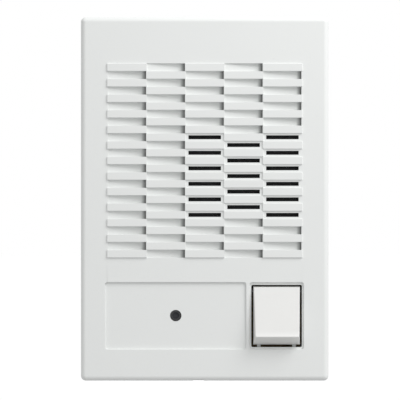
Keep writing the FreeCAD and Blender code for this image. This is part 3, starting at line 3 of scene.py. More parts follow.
import bmesh
import bpy
from bpy.props import FloatProperty, FloatVectorProperty, PointerProperty
from bpy.types import Operator, Panel, PropertyGroup
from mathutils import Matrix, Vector


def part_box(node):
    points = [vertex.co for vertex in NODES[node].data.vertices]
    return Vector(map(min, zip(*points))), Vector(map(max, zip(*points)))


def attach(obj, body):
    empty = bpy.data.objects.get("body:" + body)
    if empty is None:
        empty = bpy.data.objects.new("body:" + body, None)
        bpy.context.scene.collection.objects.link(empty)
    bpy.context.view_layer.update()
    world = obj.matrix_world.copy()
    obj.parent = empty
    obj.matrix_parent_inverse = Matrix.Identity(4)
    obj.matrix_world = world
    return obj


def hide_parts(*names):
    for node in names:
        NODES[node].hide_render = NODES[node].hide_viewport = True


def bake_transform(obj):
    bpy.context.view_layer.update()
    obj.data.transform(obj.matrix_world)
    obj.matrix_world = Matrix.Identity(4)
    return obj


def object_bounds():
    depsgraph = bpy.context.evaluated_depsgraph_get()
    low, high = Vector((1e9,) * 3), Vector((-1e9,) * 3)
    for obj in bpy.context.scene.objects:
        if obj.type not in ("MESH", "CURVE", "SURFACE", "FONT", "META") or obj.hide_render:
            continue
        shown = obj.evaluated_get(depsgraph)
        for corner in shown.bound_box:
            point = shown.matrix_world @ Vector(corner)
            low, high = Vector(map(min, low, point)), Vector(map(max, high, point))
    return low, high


bl_info = {
    "name": "Intercom station",
    "version": (1, 0, 0),
    "blender": (4, 5, 0),
    "location": "View3D > Sidebar > Intercom",
    "description": "Finishes the intercom station: its mouldings, loudspeaker and circuit board",
    "category": "Object",
}

MM = 0.001
STATION = "station"

# The grille's field on the face, and how far out its sunk cells carry painted shade, in
# millimetres.
# The last value is how dark the painted shade is, as a share of the plastic's own tone.
GRILLE_HALF = 39.5
GRILLE_LOW = -24.0
GRILLE_HIGH = 55.0
PAINTED_SHADE_STARTS = -30.17
PAINTED_SHADE_FULL = -29.96
CELLS_END = -29.7
PAINTED_SHADE_TONE = 0.18

# Mesh work: points closer than this are one, in millimetres, and angles in degrees.
JOIN_DISTANCE = 0.0005
FLAT_ANGLE = 0.6
SMOOTH_ANGLE = 40.0
BEVEL_ANGLE = 28.0
BEVEL_SEGMENTS = 2

# Colours of the bare metals.
TIN = (0.66, 0.64, 0.6)
SCREW_STEEL = (0.6, 0.6, 0.58)

# Where a sleeve's pale stripe fades out, in radians from its middle.
SLEEVE_STRIPE = (0.42, 0.46)

# Between the two speaker leads, and the places of the solder joints, in millimetres.
LEAD_SPLIT = -5.34
LEAD_PAIR = 1.25
FILM_RISE = 2.5
RESISTOR_SPAN = 9.6
RESISTOR_INSET = 1.15
CHIP_SPAN = 7.62
CHIP_INSET = 0.25
WINDING_INSET = 1.0
TERMINALS = 4
SOLDER_BASE = 0.95
SOLDER_TIP = 0.28
SOLDER_HEIGHT = 0.8

# The rows of cans: node, finish, colour, row in millimetres (first can, pitch, height), stripe.
CANS = (
    (
        "large_capacitors", "large_sleeve",
        (0.02, 0.05, 0.2), (-31.0, 12.0, -59.5), (0.62, 0.66, 0.72),
    ),
    (
        "small_capacitors", "small_sleeve",
        (0.03, 0.035, 0.04), (-4.5, 9.0, -50.6), (0.6, 0.6, 0.58),
    ),
)

# The resistors, in millimetres: the middle of their bodies, where half a painted ring and half a
# body fade out, the colour of the wire, and each ring's place and colour.
RESISTOR_UP = -31.5
RING_HALF = (0.26, 0.32)
RESISTOR_HALF = (3.16, 3.2)
RESISTOR_WIRE = (0.62, 0.6, 0.56)
RESISTOR_RINGS = (
    (-2.2, (0.22, 0.09, 0.03)),
    (-0.9, (0.02, 0.02, 0.02)),
    (0.4, (0.5, 0.06, 0.02)),
    (2.2, (0.6, 0.42, 0.1)),
)

# The stage: the camera's place in millimetres, and the lamps and floor in metres.
CAMERA_RIGHT = -1.9
CAMERA_UP = -0.44
FACE_LEVEL = -29.9
SENSOR_WIDTH = 36.0
LAMP_WAY = (0.5, -0.5, 0.6)
KEY_REACH = 2.0
NEAR_LAMP_WIDTH = 0.3
FLOOR_REACH = 6.0
FLOOR_DIM = (0.5, 0.5, 0.5, 1.0)
WHITE = (1.0, 1.0, 1.0, 1.0)

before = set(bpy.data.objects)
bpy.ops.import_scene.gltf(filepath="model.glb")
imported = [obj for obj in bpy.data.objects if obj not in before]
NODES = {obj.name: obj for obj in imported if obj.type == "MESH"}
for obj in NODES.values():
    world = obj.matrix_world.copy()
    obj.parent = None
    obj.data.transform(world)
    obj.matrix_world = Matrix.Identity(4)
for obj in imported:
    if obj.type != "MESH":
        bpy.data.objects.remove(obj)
CAD_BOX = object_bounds()


# ---------------------------------------------------------------- node trees


class Value:
    """An output of a shader node that can be used in Python arithmetic."""

    def __init__(self, maker, socket):
        self.maker = maker
        self.socket = socket

    def math(self, operation, *others):
        return self.maker.make("ShaderNodeMath", {"operation": operation}, [self, *others])

    def __add__(self, other):
        return self.math("ADD", other)

    def __radd__(self, other):
        return self.math("ADD", other)

    def __sub__(self, other):
        return self.math("SUBTRACT", other)

    def __rsub__(self, other):
        return self.maker.make("ShaderNodeMath", {"operation": "SUBTRACT"}, [other, self])

    def __mul__(self, other):
        return self.math("MULTIPLY", other)

    def __rmul__(self, other):
        return self.math("MULTIPLY", other)

    def __gt__(self, other):
        return self.math("GREATER_THAN", other)

    def __lt__(self, other):
        return self.math("LESS_THAN", other)


class Finish:
    """Builds one material's node tree."""

    def __init__(self, name):
        self.material = bpy.data.materials.new(name)
        self.material.use_nodes = True
        self.tree = self.material.node_tree
        self.tree.nodes.clear()

    def make(self, kind, settings=None, inputs=None, output=0):
        """Add a node: its settings first, then the values or links of its sockets."""
        node = self.tree.nodes.new(kind)
        for name, setting in (settings or {}).items():
            setattr(node, name, setting)
        pairs = inputs.items() if isinstance(inputs, dict) else enumerate(inputs or [])
        for key, given in pairs:
            if isinstance(given, Value):
                self.tree.links.new(given.socket, node.inputs[key])
            else:
                node.inputs[key].default_value = given
        return Value(self, node.outputs[output]) if node.outputs else None

    def place(self, scale=(1, 1, 1)):
        """The point on the object, stretched along the axes."""
        point = self.make("ShaderNodeTexCoord", output="Object")
        return self.make(
            "ShaderNodeMapping", {"vector_type": "POINT"}, {"Vector": point, "Scale": scale}
        )

    def axis(self, name):
        """One coordinate of the point on the object, in metres."""
        point = self.make("ShaderNodeTexCoord", output="Object")
        return self.make("ShaderNodeSeparateXYZ", None, [point], output=name)

    def noise(self, scale, detail=2.0, roughness=0.5, at=None, distortion=0.0):
        """Smooth noise from 0 to 1; scale is in features per metre."""
        return self.make(
            "ShaderNodeTexNoise",
            {"noise_dimensions": "3D"},
            {
                "Vector": at or self.place(),
                "Scale": scale,
                "Detail": detail,
                "Roughness": roughness,
                "Distortion": distortion,
            },
        )

    def cells(self, scale):
        """Cellular noise: the distance to the nearest of many scattered points."""
        return self.make(
            "ShaderNodeTexVoronoi",
            {"feature": "F1", "voronoi_dimensions": "3D"},
            {"Vector": self.place(), "Scale": scale},
        )

    def waves(self, scale, direction, profile, distortion=0.0):
        """Parallel bands across one axis."""
        return self.make(
            "ShaderNodeTexWave",
            {"wave_type": "BANDS", "bands_direction": direction, "wave_profile": profile},
            {"Vector": self.place(), "Scale": scale, "Distortion": distortion},
        )

    def spread(self, value, low, high, to_low=0.0, to_high=1.0):
        """Stretch a value from one range to another, and clip it."""
        return self.make(
            "ShaderNodeMapRange", {"clamp": True}, [value, low, high, to_low, to_high]
        )

    def mix(self, amount, first, second):
        """Mix two colours."""
        node = {"data_type": "RGBA", "blend_type": "MIX", "clamp_factor": True}
        first = (*first, 1.0) if isinstance(first, tuple) else first
        second = (*second, 1.0) if isinstance(second, tuple) else second
        return self.make("ShaderNodeMix", node, {0: amount, 6: first, 7: second}, output=2)

    def bump(self, height, depth):
        """A relief of a depth in metres."""
        return self.make(
            "ShaderNodeBump", None, {"Height": height, "Distance": depth, "Strength": 1.0}
        )

    def surface(self, **inputs):
        """Finish the material with one Principled shader."""
        sockets = {key.replace("_", " "): given for key, given in inputs.items()}
        shader = self.make("ShaderNodeBsdfPrincipled", None, sockets)
        self.make("ShaderNodeOutputMaterial", None, {"Surface": shader})
        return self.material


# ---------------------------------------------------------------- finishes


def shade(colour, factor):
    """A lighter or darker version of a colour."""
    return tuple(min(1.0, part * factor) for part in colour)


def painted_cell_shade(finish):
    """Painted shade: a mask that darkens the deep ends of the grille's sunk cells, where shade
    falls.
    """
    across, out, up = (finish.axis(name) for name in "XYZ")
    deep = finish.spread(out, PAINTED_SHADE_STARTS * MM, PAINTED_SHADE_FULL * MM) * (out < CELLS_END * MM)
    inside = across.math("ABSOLUTE") < GRILLE_HALF * MM
    return deep * inside * (up > GRILLE_LOW * MM) * (up < GRILLE_HIGH * MM)


def moulded_plastic(
    name, colour, roughness=0.42, grain=1800.0, relief=0.012, drift=0.03, paint_cell_shade=False
):
    """Injection-moulded plastic: a faint grain, a slow drift of tone, patches of handling and,
    where asked, painted shade at the deep ends of the grille's sunk cells.
    """
    finish = Finish(name)
    slow = finish.noise(34.0, 3.0)
    tone = finish.mix(slow, shade(colour, 1.0 - drift), shade(colour, 1.0 + drift))
    specks = finish.spread(finish.noise(950.0, 1.0), 0.70, 0.78)
    tone = finish.mix(specks * 0.10, tone, shade(colour, 0.82))
    if paint_cell_shade:
        # Painted shade: the deep ends of the grille's sunk cells are darkened in the colour
        # itself.
        tone = finish.mix(painted_cell_shade(finish), tone, shade(colour, PAINTED_SHADE_TONE))
    handled = finish.spread(finish.noise(95.0, 4.0, 0.6), 0.35, 0.75)
    grain_height = finish.noise(grain, 2.0) + finish.noise(grain / 5.0, 1.0) * 0.6
    return finish.surface(
        Base_Color=tone,
        Roughness=roughness - 0.06 + handled * 0.12,
        Normal=finish.bump(grain_height, relief * MM),
    )


def brushed_metal(name, colour, roughness=0.32, along="X", scale=2600.0):
    """Plated steel with fine drawing lines and a cloudy film."""
    finish = Finish(name)
    stretch = {"X": (0.04, 1, 1), "Y": (1, 0.04, 1), "Z": (1, 1, 0.04)}[along]
    lines = finish.noise(scale, 2.0, at=finish.place(scale=stretch))
    cloud = finish.noise(160.0, 3.0)
    tone = finish.mix(cloud, shade(colour, 0.86), shade(colour, 1.12))
    return finish.surface(
        Base_Color=tone,
        Metallic=1.0,
        Roughness=roughness - 0.08 + cloud * 0.1 + lines * 0.12,
        Normal=finish.bump(lines, 0.006 * MM),
    )


def rubber(name, colour):
    """Soft black rubber with a bloom of dust."""
    finish = Finish(name)
    bloom = finish.spread(finish.noise(420.0, 3.0), 0.4, 0.8)
    return finish.surface(
        Base_Color=finish.mix(bloom * 0.5, colour, shade(colour, 2.2)),
        Roughness=0.55 + bloom * 0.15,
        Normal=finish.bump(finish.noise(2400.0, 2.0), 0.02 * MM),
    )


def woven_cloth(name, colour, pitch=0.45, relief=0.06):
    """Plain-woven cloth: two crossing sets of threads."""
    finish = Finish(name)
    turns = math.tau / (pitch * MM)
    right, up = finish.axis("X") * turns, finish.axis("Z") * turns
    warp, weft = right.math("SINE"), up.math("SINE")
    threads = warp * weft * 0.5 + 0.5
    fuzz = finish.noise(3000.0, 2.0)
    height = threads * 0.8 + fuzz * 0.2
    tone = finish.mix(height, shade(colour, 0.45), shade(colour, 1.6))
    return finish.surface(Base_Color=tone, Roughness=0.92, Normal=finish.bump(height, relief * MM))


def felt(name, colour):
    """Pressed fibres."""
    finish = Finish(name)
    fibres = finish.noise(5200.0, 4.0, 0.7, distortion=1.5)
    tone = finish.mix(fibres, shade(colour, 0.5), shade(colour, 1.7))
    return finish.surface(Base_Color=tone, Roughness=0.95, Normal=finish.bump(fibres, 0.12 * MM))


def pulp_paper(name, colour, rings=None):
    """Pressed pulp with loose fibres, and fine rings where the piece is round."""
    finish = Finish(name)
    fibres = finish.noise(1500.0, 5.0, 0.65, distortion=0.8)
    tone = finish.mix(fibres, shade(colour, 0.7), shade(colour, 1.5))
    height = fibres
    if rings:
        right, up, pitch = rings
        radius = distance_from(finish, right, up)
        groove = (radius * (math.tau / (pitch * MM))).math("SINE")
        height = fibres * 0.3 + groove * 0.7
        tone = finish.mix(finish.spread(groove, 0.2, 1.0) * 0.25, tone, shade(colour, 0.55))
    return finish.surface(Base_Color=tone, Roughness=0.85, Normal=finish.bump(height, 0.09 * MM))


def distance_from(finish, right, up):
    """How far a point lies from an axis out of the wall, in metres."""
    across, along = finish.axis("X") - right * MM, finish.axis("Z") - up * MM
    return (across * across + along * along).math("SQRT")


def ferrite(name, colour):
    """Ground ceramic magnet with chipped pores."""
    finish = Finish(name)
    pores = finish.spread(finish.cells(900.0), 0.0, 0.25)
    grind = finish.noise(1800.0, 3.0, at=finish.place(scale=(1, 0.2, 1)))
    tone = finish.mix(grind, shade(colour, 0.8), shade(colour, 1.35))
    tone = finish.mix(pores, shade(colour, 0.5), tone)
    return finish.surface(
        Base_Color=tone,
        Roughness=0.48 + grind * 0.2,
        Normal=finish.bump(pores + grind * 0.3, 0.03 * MM),
    )


def laminate(name, colour):
    """Paper-based board: a mottled sheet with the pale shadows of the copper tracks."""
    finish = Finish(name)
    fibres = finish.noise(700.0, 5.0, 0.7)
    tone = finish.mix(fibres, shade(colour, 0.82), shade(colour, 1.2))
    tracks = finish.waves(62.0, "Z", "TRI", 2.6)
    shadow = finish.spread(tracks, 0.42, 0.48) - finish.spread(tracks, 0.62, 0.68)
    tone = finish.mix(shadow * 0.35, tone, shade(colour, 1.9))
    return finish.surface(
        Base_Color=tone,
        Roughness=0.38 + fibres * 0.12,
        Normal=finish.bump(fibres * 0.2 + shadow * 0.8, 0.03 * MM),
    )


def shrunk_sleeve(name, colour, row, stripe):
    """Plastic sleeves round a row of cans, each with one pale stripe along it."""
    finish = Finish(name)
    first, pitch, up = row
    across = finish.axis("X") - (first - pitch / 2) * MM
    lane = across.math("MODULO", pitch * MM) - pitch / 2 * MM
    along = finish.axis("Z") - up * MM
    angle = along.math("ARCTAN2", lane)
    band = finish.spread(angle.math("ABSOLUTE"), *SLEEVE_STRIPE, 1.0, 0.0)
    wrinkle = finish.noise(300.0, 3.0)
    tone = finish.mix(band, colour, stripe)
    tone = finish.mix(wrinkle * 0.25, tone, shade(colour, 0.6))
    return finish.surface(
        Base_Color=tone, Roughness=0.28 + wrinkle * 0.15, Normal=finish.bump(wrinkle, 0.05 * MM)
    )


def banded_lacquer(name, colour, up, bands):
    """Lacquer with painted rings across a small part, and its bare wire past both ends."""
    finish = Finish(name)
    along = finish.axis("Z") - up * MM
    tone = finish.mix(finish.noise(900.0, 2.0), shade(colour, 0.9), shade(colour, 1.1))
    for place, ring_colour in bands:
        inner, outer = (half * MM for half in RING_HALF)
        ring = finish.spread((along - place * MM).math("ABSOLUTE"), inner, outer, 1.0, 0.0)
        tone = finish.mix(ring, tone, ring_colour)
    wire = finish.spread(along.math("ABSOLUTE"), *(half * MM for half in RESISTOR_HALF))
    tone = finish.mix(wire, tone, RESISTOR_WIRE)
    return finish.surface(
        Base_Color=tone,
        Metallic=wire * 0.9,
        Roughness=0.34 + finish.noise(600.0) * 0.12,
        Normal=finish.bump(finish.noise(700.0, 2.0), 0.03 * MM),
    )


def dipped_ceramic(name, colour):
    """A dipped coat that has run a little."""
    finish = Finish(name)
    runs = finish.noise(260.0, 3.0, at=finish.place(scale=(1, 0.4, 1)))
    tone = finish.mix(runs, shade(colour, 0.78), shade(colour, 1.2))
    return finish.surface(
        Base_Color=tone, Roughness=0.3 + runs * 0.2, Normal=finish.bump(runs, 0.12 * MM)
    )


def stacked_sheets(name, colour):
    """The edges of steel sheets in a stack."""
    finish = Finish(name)
    sheets = finish.waves(320.0, "Y", "SAW")
    rust = finish.spread(finish.noise(240.0, 4.0), 0.52, 0.75)
    tone = finish.mix(sheets, shade(colour, 0.55), shade(colour, 1.4))
    tone = finish.mix(rust * 0.45, tone, (0.16, 0.075, 0.04))
    return finish.surface(
        Base_Color=tone,
        Metallic=0.75,
        Roughness=0.42 + rust * 0.3,
        Normal=finish.bump(sheets, 0.05 * MM),
    )


def wrapped_tape(name, colour):
    """Tape wound over a coil, with its overlapping edges."""
    finish = Finish(name)
    laps = finish.waves(120.0, "Y", "SAW", 0.4)
    creases = finish.noise(420.0, 3.0)
    tone = finish.mix(laps, shade(colour, 0.72), shade(colour, 1.1))
    return finish.surface(
        Base_Color=tone,
        Roughness=0.3 + creases * 0.2,
        Normal=finish.bump(laps + creases * 0.4, 0.06 * MM),
    )


def wound_wire(name, colour, pitch=0.24):
    """Enamelled wire in close turns about an axis out of the wall."""
    finish = Finish(name)
    turns = (finish.axis("Y") * (math.tau / (pitch * MM))).math("SINE") * 0.5 + 0.5
    tone = finish.mix(turns, shade(colour, 0.5), shade(colour, 1.25))
    return finish.surface(
        Base_Color=tone, Metallic=0.6, Roughness=0.34, Normal=finish.bump(turns, 0.05 * MM)
    )


def insulation(name, colours, split):
    """Two leads side by side, each with its own colour."""
    finish = Finish(name)
    side = finish.axis("X") > split * MM
    tone = finish.mix(side, *colours)
    dull = finish.noise(500.0, 2.0)
    return finish.surface(
        Base_Color=tone, Roughness=0.4 + dull * 0.15, Normal=finish.bump(dull, 0.03 * MM)
    )


# ---------------------------------------------------------------- meshes


def place_in_scene(name, data):
    """A new object in the scene for a mesh, a lamp or a camera."""
    item = bpy.data.objects.new(name, data)
    bpy.context.scene.collection.objects.link(item)
    return item


def give_finish(mesh, material):
    """Make one material the mesh's only one."""
    mesh.materials.clear()
    mesh.materials.append(material)


def box_mm(node):
    """The lowest and highest corners of a CAD node, in millimetres."""
    low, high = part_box(node)
    return low / MM, high / MM


def link(name, mesh, material, body=STATION, replaced=()):
    """Put a finished mesh into the scene as a piece that rides on a body."""
    piece = place_in_scene(name, mesh)
    give_finish(mesh, material)
    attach(piece, body)
    if replaced:
        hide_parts(*replaced)
    return piece


def baked(source):
    """The plain mesh of an object with its modifiers applied; the object is removed."""
    graph = bpy.context.evaluated_depsgraph_get()
    mesh = bpy.data.meshes.new_from_object(source.evaluated_get(graph), depsgraph=graph)
    bpy.data.objects.remove(source)
    return mesh


def merged_copy(node):
    """A copy of a CAD node's mesh with its loose triangles joined."""
    mesh = NODES[node].data.copy()
    shape = bmesh.new()
    shape.from_mesh(mesh)
    bmesh.ops.remove_doubles(shape, verts=shape.verts, dist=JOIN_DISTANCE * MM)
    shape.to_mesh(mesh)
    shape.free()
    if "custom_normal" in mesh.attributes:
        mesh.attributes.remove(mesh.attributes["custom_normal"])
    return mesh


def flat_areas(shape, flat):
    """For every face, the area of the flat patch that it belongs to."""
    patch, areas = [-1] * len(shape.faces), []
    for seed in shape.faces:
        if patch[seed.index] >= 0:
            continue
        patch[seed.index] = len(areas)
        waiting, area = [seed], 0.0
        while waiting:
            face = waiting.pop()
            area += face.calc_area()
            near = {other for edge in face.edges for other in edge.link_faces}
            for other in near:
                if patch[other.index] < 0 and other.normal.dot(seed.normal) > flat:
                    patch[other.index] = len(areas)
                    waiting.append(other)
        areas.append(area)
    return [areas[number] for number in patch]


def smooth_fan(vertex, start, smooth):
    """The faces round a vertex that join a face without a sharp edge between them."""
    fan, waiting = {start}, [start]
    while waiting:
        face = waiting.pop()
        for edge in face.edges:
            if vertex not in edge.verts:
                continue
            for other in edge.link_faces:
                if other not in fan and other.normal.dot(face.normal) > smooth:
                    fan.add(other)
                    waiting.append(other)
    return fan


def even_normals(mesh):
    """Smooth shading that keeps flat faces flat, whatever triangles they are made of."""
    shape = bmesh.new()
    shape.from_mesh(mesh)
    shape.faces.ensure_lookup_table()
    weights = flat_areas(shape, math.cos(math.radians(FLAT_ANGLE)))
    smooth = math.cos(math.radians(SMOOTH_ANGLE))
    normals = []
    for face in shape.faces:
        for loop in face.loops:
            total = Vector()
            for other in smooth_fan(loop.vert, face, smooth):
                total += other.normal * weights[other.index]
            normals.append(total.normalized() if total.length > 0.0 else face.normal.copy())
    shape.free()
    for face in mesh.polygons:
        face.use_smooth = True
    mesh.normals_split_custom_set(normals)


def smooth_copy(node):
    """A joined copy of a CAD node's mesh with even shading."""
    mesh = merged_copy(node)
    even_normals(mesh)
    return mesh


def softened(node, edge):
    """A CAD node's shape with every sharp edge rounded, as a mould leaves it."""
    source = place_in_scene(node + "_source", merged_copy(node))
    bevel = source.modifiers.new("edges", "BEVEL")
    bevel.width = edge * MM
    bevel.segments = BEVEL_SEGMENTS
    bevel.limit_method = "ANGLE"
    bevel.angle_limit = math.radians(BEVEL_ANGLE)
    bevel.use_clamp_overlap = False
    made = baked(source)
    even_normals(made)
    return made


def stretched(node, material):
    """A soft piece: an evenly shaded copy of a CAD node, put in the scene in place of the node."""
    mesh = smooth_copy(node)
    give_finish(mesh, material)
    piece = place_in_scene(node + "_soft", mesh)
    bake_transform(piece)
    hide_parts(node)


def paint(node, material):
    """Give a CAD node its finish."""
    give_finish(NODES[node].data, material)


# ---------------------------------------------------------------- geometry nodes


class Layout:
    """Builds a geometry node tree with named inputs."""

    def __init__(self, name):
        self.tree = bpy.data.node_groups.new(name, "GeometryNodeTree")
        self.tree.interface.new_socket(
            "Geometry", in_out="OUTPUT", socket_type="NodeSocketGeometry"
        )
        self.inputs = self.tree.nodes.new("NodeGroupInput")
        self.identifiers = {}

    def size(self, name, kind="NodeSocketFloat"):
        """A named input of the tree."""
        socket = self.tree.interface.new_socket(name, in_out="INPUT", socket_type=kind)
        self.identifiers[name] = socket.identifier
        return next(out for out in self.inputs.outputs if out.identifier == socket.identifier)

    def make(self, kind, settings=None, inputs=None, output=0):
        """Add a node: its settings first, then the values or links of its sockets."""
        node = self.tree.nodes.new(kind)
        for name, setting in (settings or {}).items():
            setattr(node, name, setting)
        pairs = inputs.items() if isinstance(inputs, dict) else enumerate(inputs or [])
        for key, given in pairs:
            if isinstance(given, bpy.types.NodeSocket):
                self.tree.links.new(given, node.inputs[key])
            else:
                node.inputs[key].default_value = given
        return node.outputs[output]

    def finish(self, geometry, material):
        """End the tree in real geometry with its material."""
        real = self.make("GeometryNodeRealizeInstances", None, [geometry])
        sockets = {"Geometry": real, "Material": material}
        painted = self.make("GeometryNodeSetMaterial", None, sockets)
        last = self.tree.nodes.new("NodeGroupOutput")
        self.tree.links.new(painted, last.inputs[0])

    def mesh(self, sizes, start):
        """Run the tree on a mesh with its sizes, and give the mesh that it makes."""
        source = place_in_scene("layout", start)
        modifier = source.modifiers.new("layout", "NODES")
        modifier.node_group = self.tree
        for name, given in sizes.items():
            modifier[self.identifiers[name]] = given
        return baked(source)


def joint_layout(material):
    """Small cones of solder at given points."""
    layout = Layout("solder_joints")
    geometry = layout.size("Points", "NodeSocketGeometry")
    base, tip, height = layout.size("Base"), layout.size("Tip"), layout.size("Height")
    facing = layout.size("Facing", "NodeSocketVector")
    cone = layout.make(
        "GeometryNodeMeshCone",
        {"fill_type": "TRIANGLE_FAN"},
        {
            "Vertices": 14,
            "Side Segments": 2,
            "Radius Top": tip,
            "Radius Bottom": base,
            "Depth": height,
        },
        output="Mesh",
    )
    place = layout.make("GeometryNodeInputPosition")
    grain = layout.make(
        "ShaderNodeTexNoise",
        {"noise_dimensions": "3D"},
        {"Vector": place, "Scale": 900.0},
        output="Fac",
    )
    instances = layout.make(
        "GeometryNodeInstanceOnPoints",
        None,
        {
            "Points": geometry,
            "Instance": cone,
            "Rotation": facing,
            "Scale": layout.make("ShaderNodeMapRange", None, [grain, 0.3, 0.7, 0.85, 1.15]),
        },
    )
    layout.finish(instances, material)
    return layout


# ---------------------------------------------------------------- settings


class CasingSettings(PropertyGroup):
    """Sizes and colours of the mouldings that are seen from outside."""

    cover_colour: FloatVectorProperty(
        name="Cover", description="Colour of the front cover", subtype="COLOR", size=3,
        default=(0.82, 0.835, 0.825), min=0.0, max=1.0,
    )
    housing_colour: FloatVectorProperty(
        name="Housing", description="Colour of the rear housing", subtype="COLOR", size=3,
        default=(0.78, 0.79, 0.775), min=0.0, max=1.0,
    )
    button_colour: FloatVectorProperty(
        name="Button", description="Colour of the talk button", subtype="COLOR", size=3,
        default=(0.805, 0.805, 0.79), min=0.0, max=1.0,
    )
    mould_edge: FloatProperty(
        name="Mould edge", description="Radius of the mouldings' sharp edges, in millimetres",
        default=0.09, min=0.02, max=0.4,
    )


class StageSettings(PropertyGroup):
    """Camera, floor and lamps."""

    camera_distance: FloatProperty(
        name="Camera distance", description="From the face",
        default=0.80, min=0.1, subtype="DISTANCE", unit="LENGTH",
    )
    frame_width: FloatProperty(
        name="Frame width", description="Seen at the face",
        default=0.1616, min=0.01, subtype="DISTANCE", unit="LENGTH",
    )
    floor_drop: FloatProperty(
        name="Floor drop", description="Floor below the station",
        default=0.12, min=0.0, subtype="DISTANCE", unit="LENGTH",
    )
    floor_glow: FloatProperty(
        name="Floor glow", description="Light that the floor adds where it is seen",
        default=0.18, min=0.0,
    )
    key_power: FloatProperty(
        name="Key lamp", description="Light of the key lamp on a face turned to it",
        default=0.62, min=0.0,
    )
    key_spread: FloatProperty(
        name="Key spread", description="Width of the key lamp, in degrees", default=50.0, min=0.0,
    )
    near_power: FloatProperty(
        name="Near lamp", description="Power of the near lamp",
        default=1.05, min=0.0, unit="POWER",
    )
    near_distance: FloatProperty(
        name="Near distance", description="From the station's middle",
        default=0.5, min=0.1, subtype="DISTANCE", unit="LENGTH",
    )
    sky: FloatProperty(
        name="Sky", description="Level of the light from all round", default=0.69, min=0.0,
    )


SETTINGS = (CasingSettings, StageSettings)


def settings():
    """The scene's settings."""
    scene = bpy.context.scene
    return scene.intercom_casing, scene.intercom_stage


# ---------------------------------------------------------------- casing pieces


class PieceOperator(Operator):
    """Common options of the operators below."""

    bl_options = {"REGISTER", "UNDO"}


class INTERCOM_OT_cover(PieceOperator):
    """Make the front cover with its rounded edges"""

    bl_idname = "intercom.cover"
    bl_label = "Front cover"

    def execute(self, context):
        casing = settings()[0]
        # The cover's colour carries painted shade at the deep ends of the grille's sunk cells.
        plastic = moulded_plastic(
            "cover_white", tuple(casing.cover_colour), relief=0.008, drift=0.012, paint_cell_shade=True
        )
        mesh = softened("front_cover", casing.mould_edge)
        link("cover_moulding", mesh, plastic, replaced=["front_cover"])
        return {"FINISHED"}


class INTERCOM_OT_housing(PieceOperator):
    """Make the rear housing with its rounded edges"""

    bl_idname = "intercom.housing"
    bl_label = "Rear housing"

    def execute(self, context):
        casing = settings()[0]
        plastic = moulded_plastic(
            "housing_white", tuple(casing.housing_colour),
            roughness=0.55, grain=1300.0, relief=0.03, drift=0.025,
        )
        mesh = softened("rear_housing", casing.mould_edge)
        link("housing_moulding", mesh, plastic, replaced=["rear_housing"])
        return {"FINISHED"}


class INTERCOM_OT_button(PieceOperator):
    """Make the talk button and what is under it"""

    bl_idname = "intercom.button"
    bl_label = "Talk button"

    def execute(self, context):
        casing = settings()[0]
        plastic = moulded_plastic(
            "button_white", tuple(casing.button_colour), roughness=0.34, relief=0.005, drift=0.01
        )
        mesh = smooth_copy("talk_button")
        link("button_moulding", mesh, plastic, "button", ["talk_button"])
        # The pin's steel is painted near-black so that, where it shows in the gaps round the
        # button, it reads as shade.
        paint("button_pin", brushed_metal("pin_steel_painted_dark", (0.12, 0.12, 0.12), 0.4, "X"))
        wire = brushed_metal("spring_wire", (0.42, 0.41, 0.4), 0.3, "Y", 4000.0)
        stretched("button_spring", wire)
        stretched("switch_spring", wire)
        black = moulded_plastic("switch_black", (0.035, 0.035, 0.037), 0.45, drift=0.15)
        paint("switch_body", black)
        red = moulded_plastic("plunger_red", (0.55, 0.045, 0.03), 0.3, drift=0.08)
        paint("switch_plunger", red)
        paint("switch_pins", brushed_metal("tinned_wire", TIN, 0.36, "Y"))
        return {"FINISHED"}


class INTERCOM_OT_microphone(PieceOperator):
    """Finish the microphone, its boot and its felt"""

    bl_idname = "intercom.microphone"
    bl_label = "Microphone"

    def execute(self, context):
        paint("mic_boot", rubber("boot_rubber", (0.022, 0.022, 0.023)))
        paint("mic_felt", felt("mic_felt_grey", (0.035, 0.036, 0.04)))
        paint("mic_capsule", brushed_metal("capsule_aluminium", (0.68, 0.69, 0.7), 0.28, "Y"))
        paint("mic_leads", brushed_metal("mic_lead_wire", TIN, 0.36, "Y"))
        return {"FINISHED"}


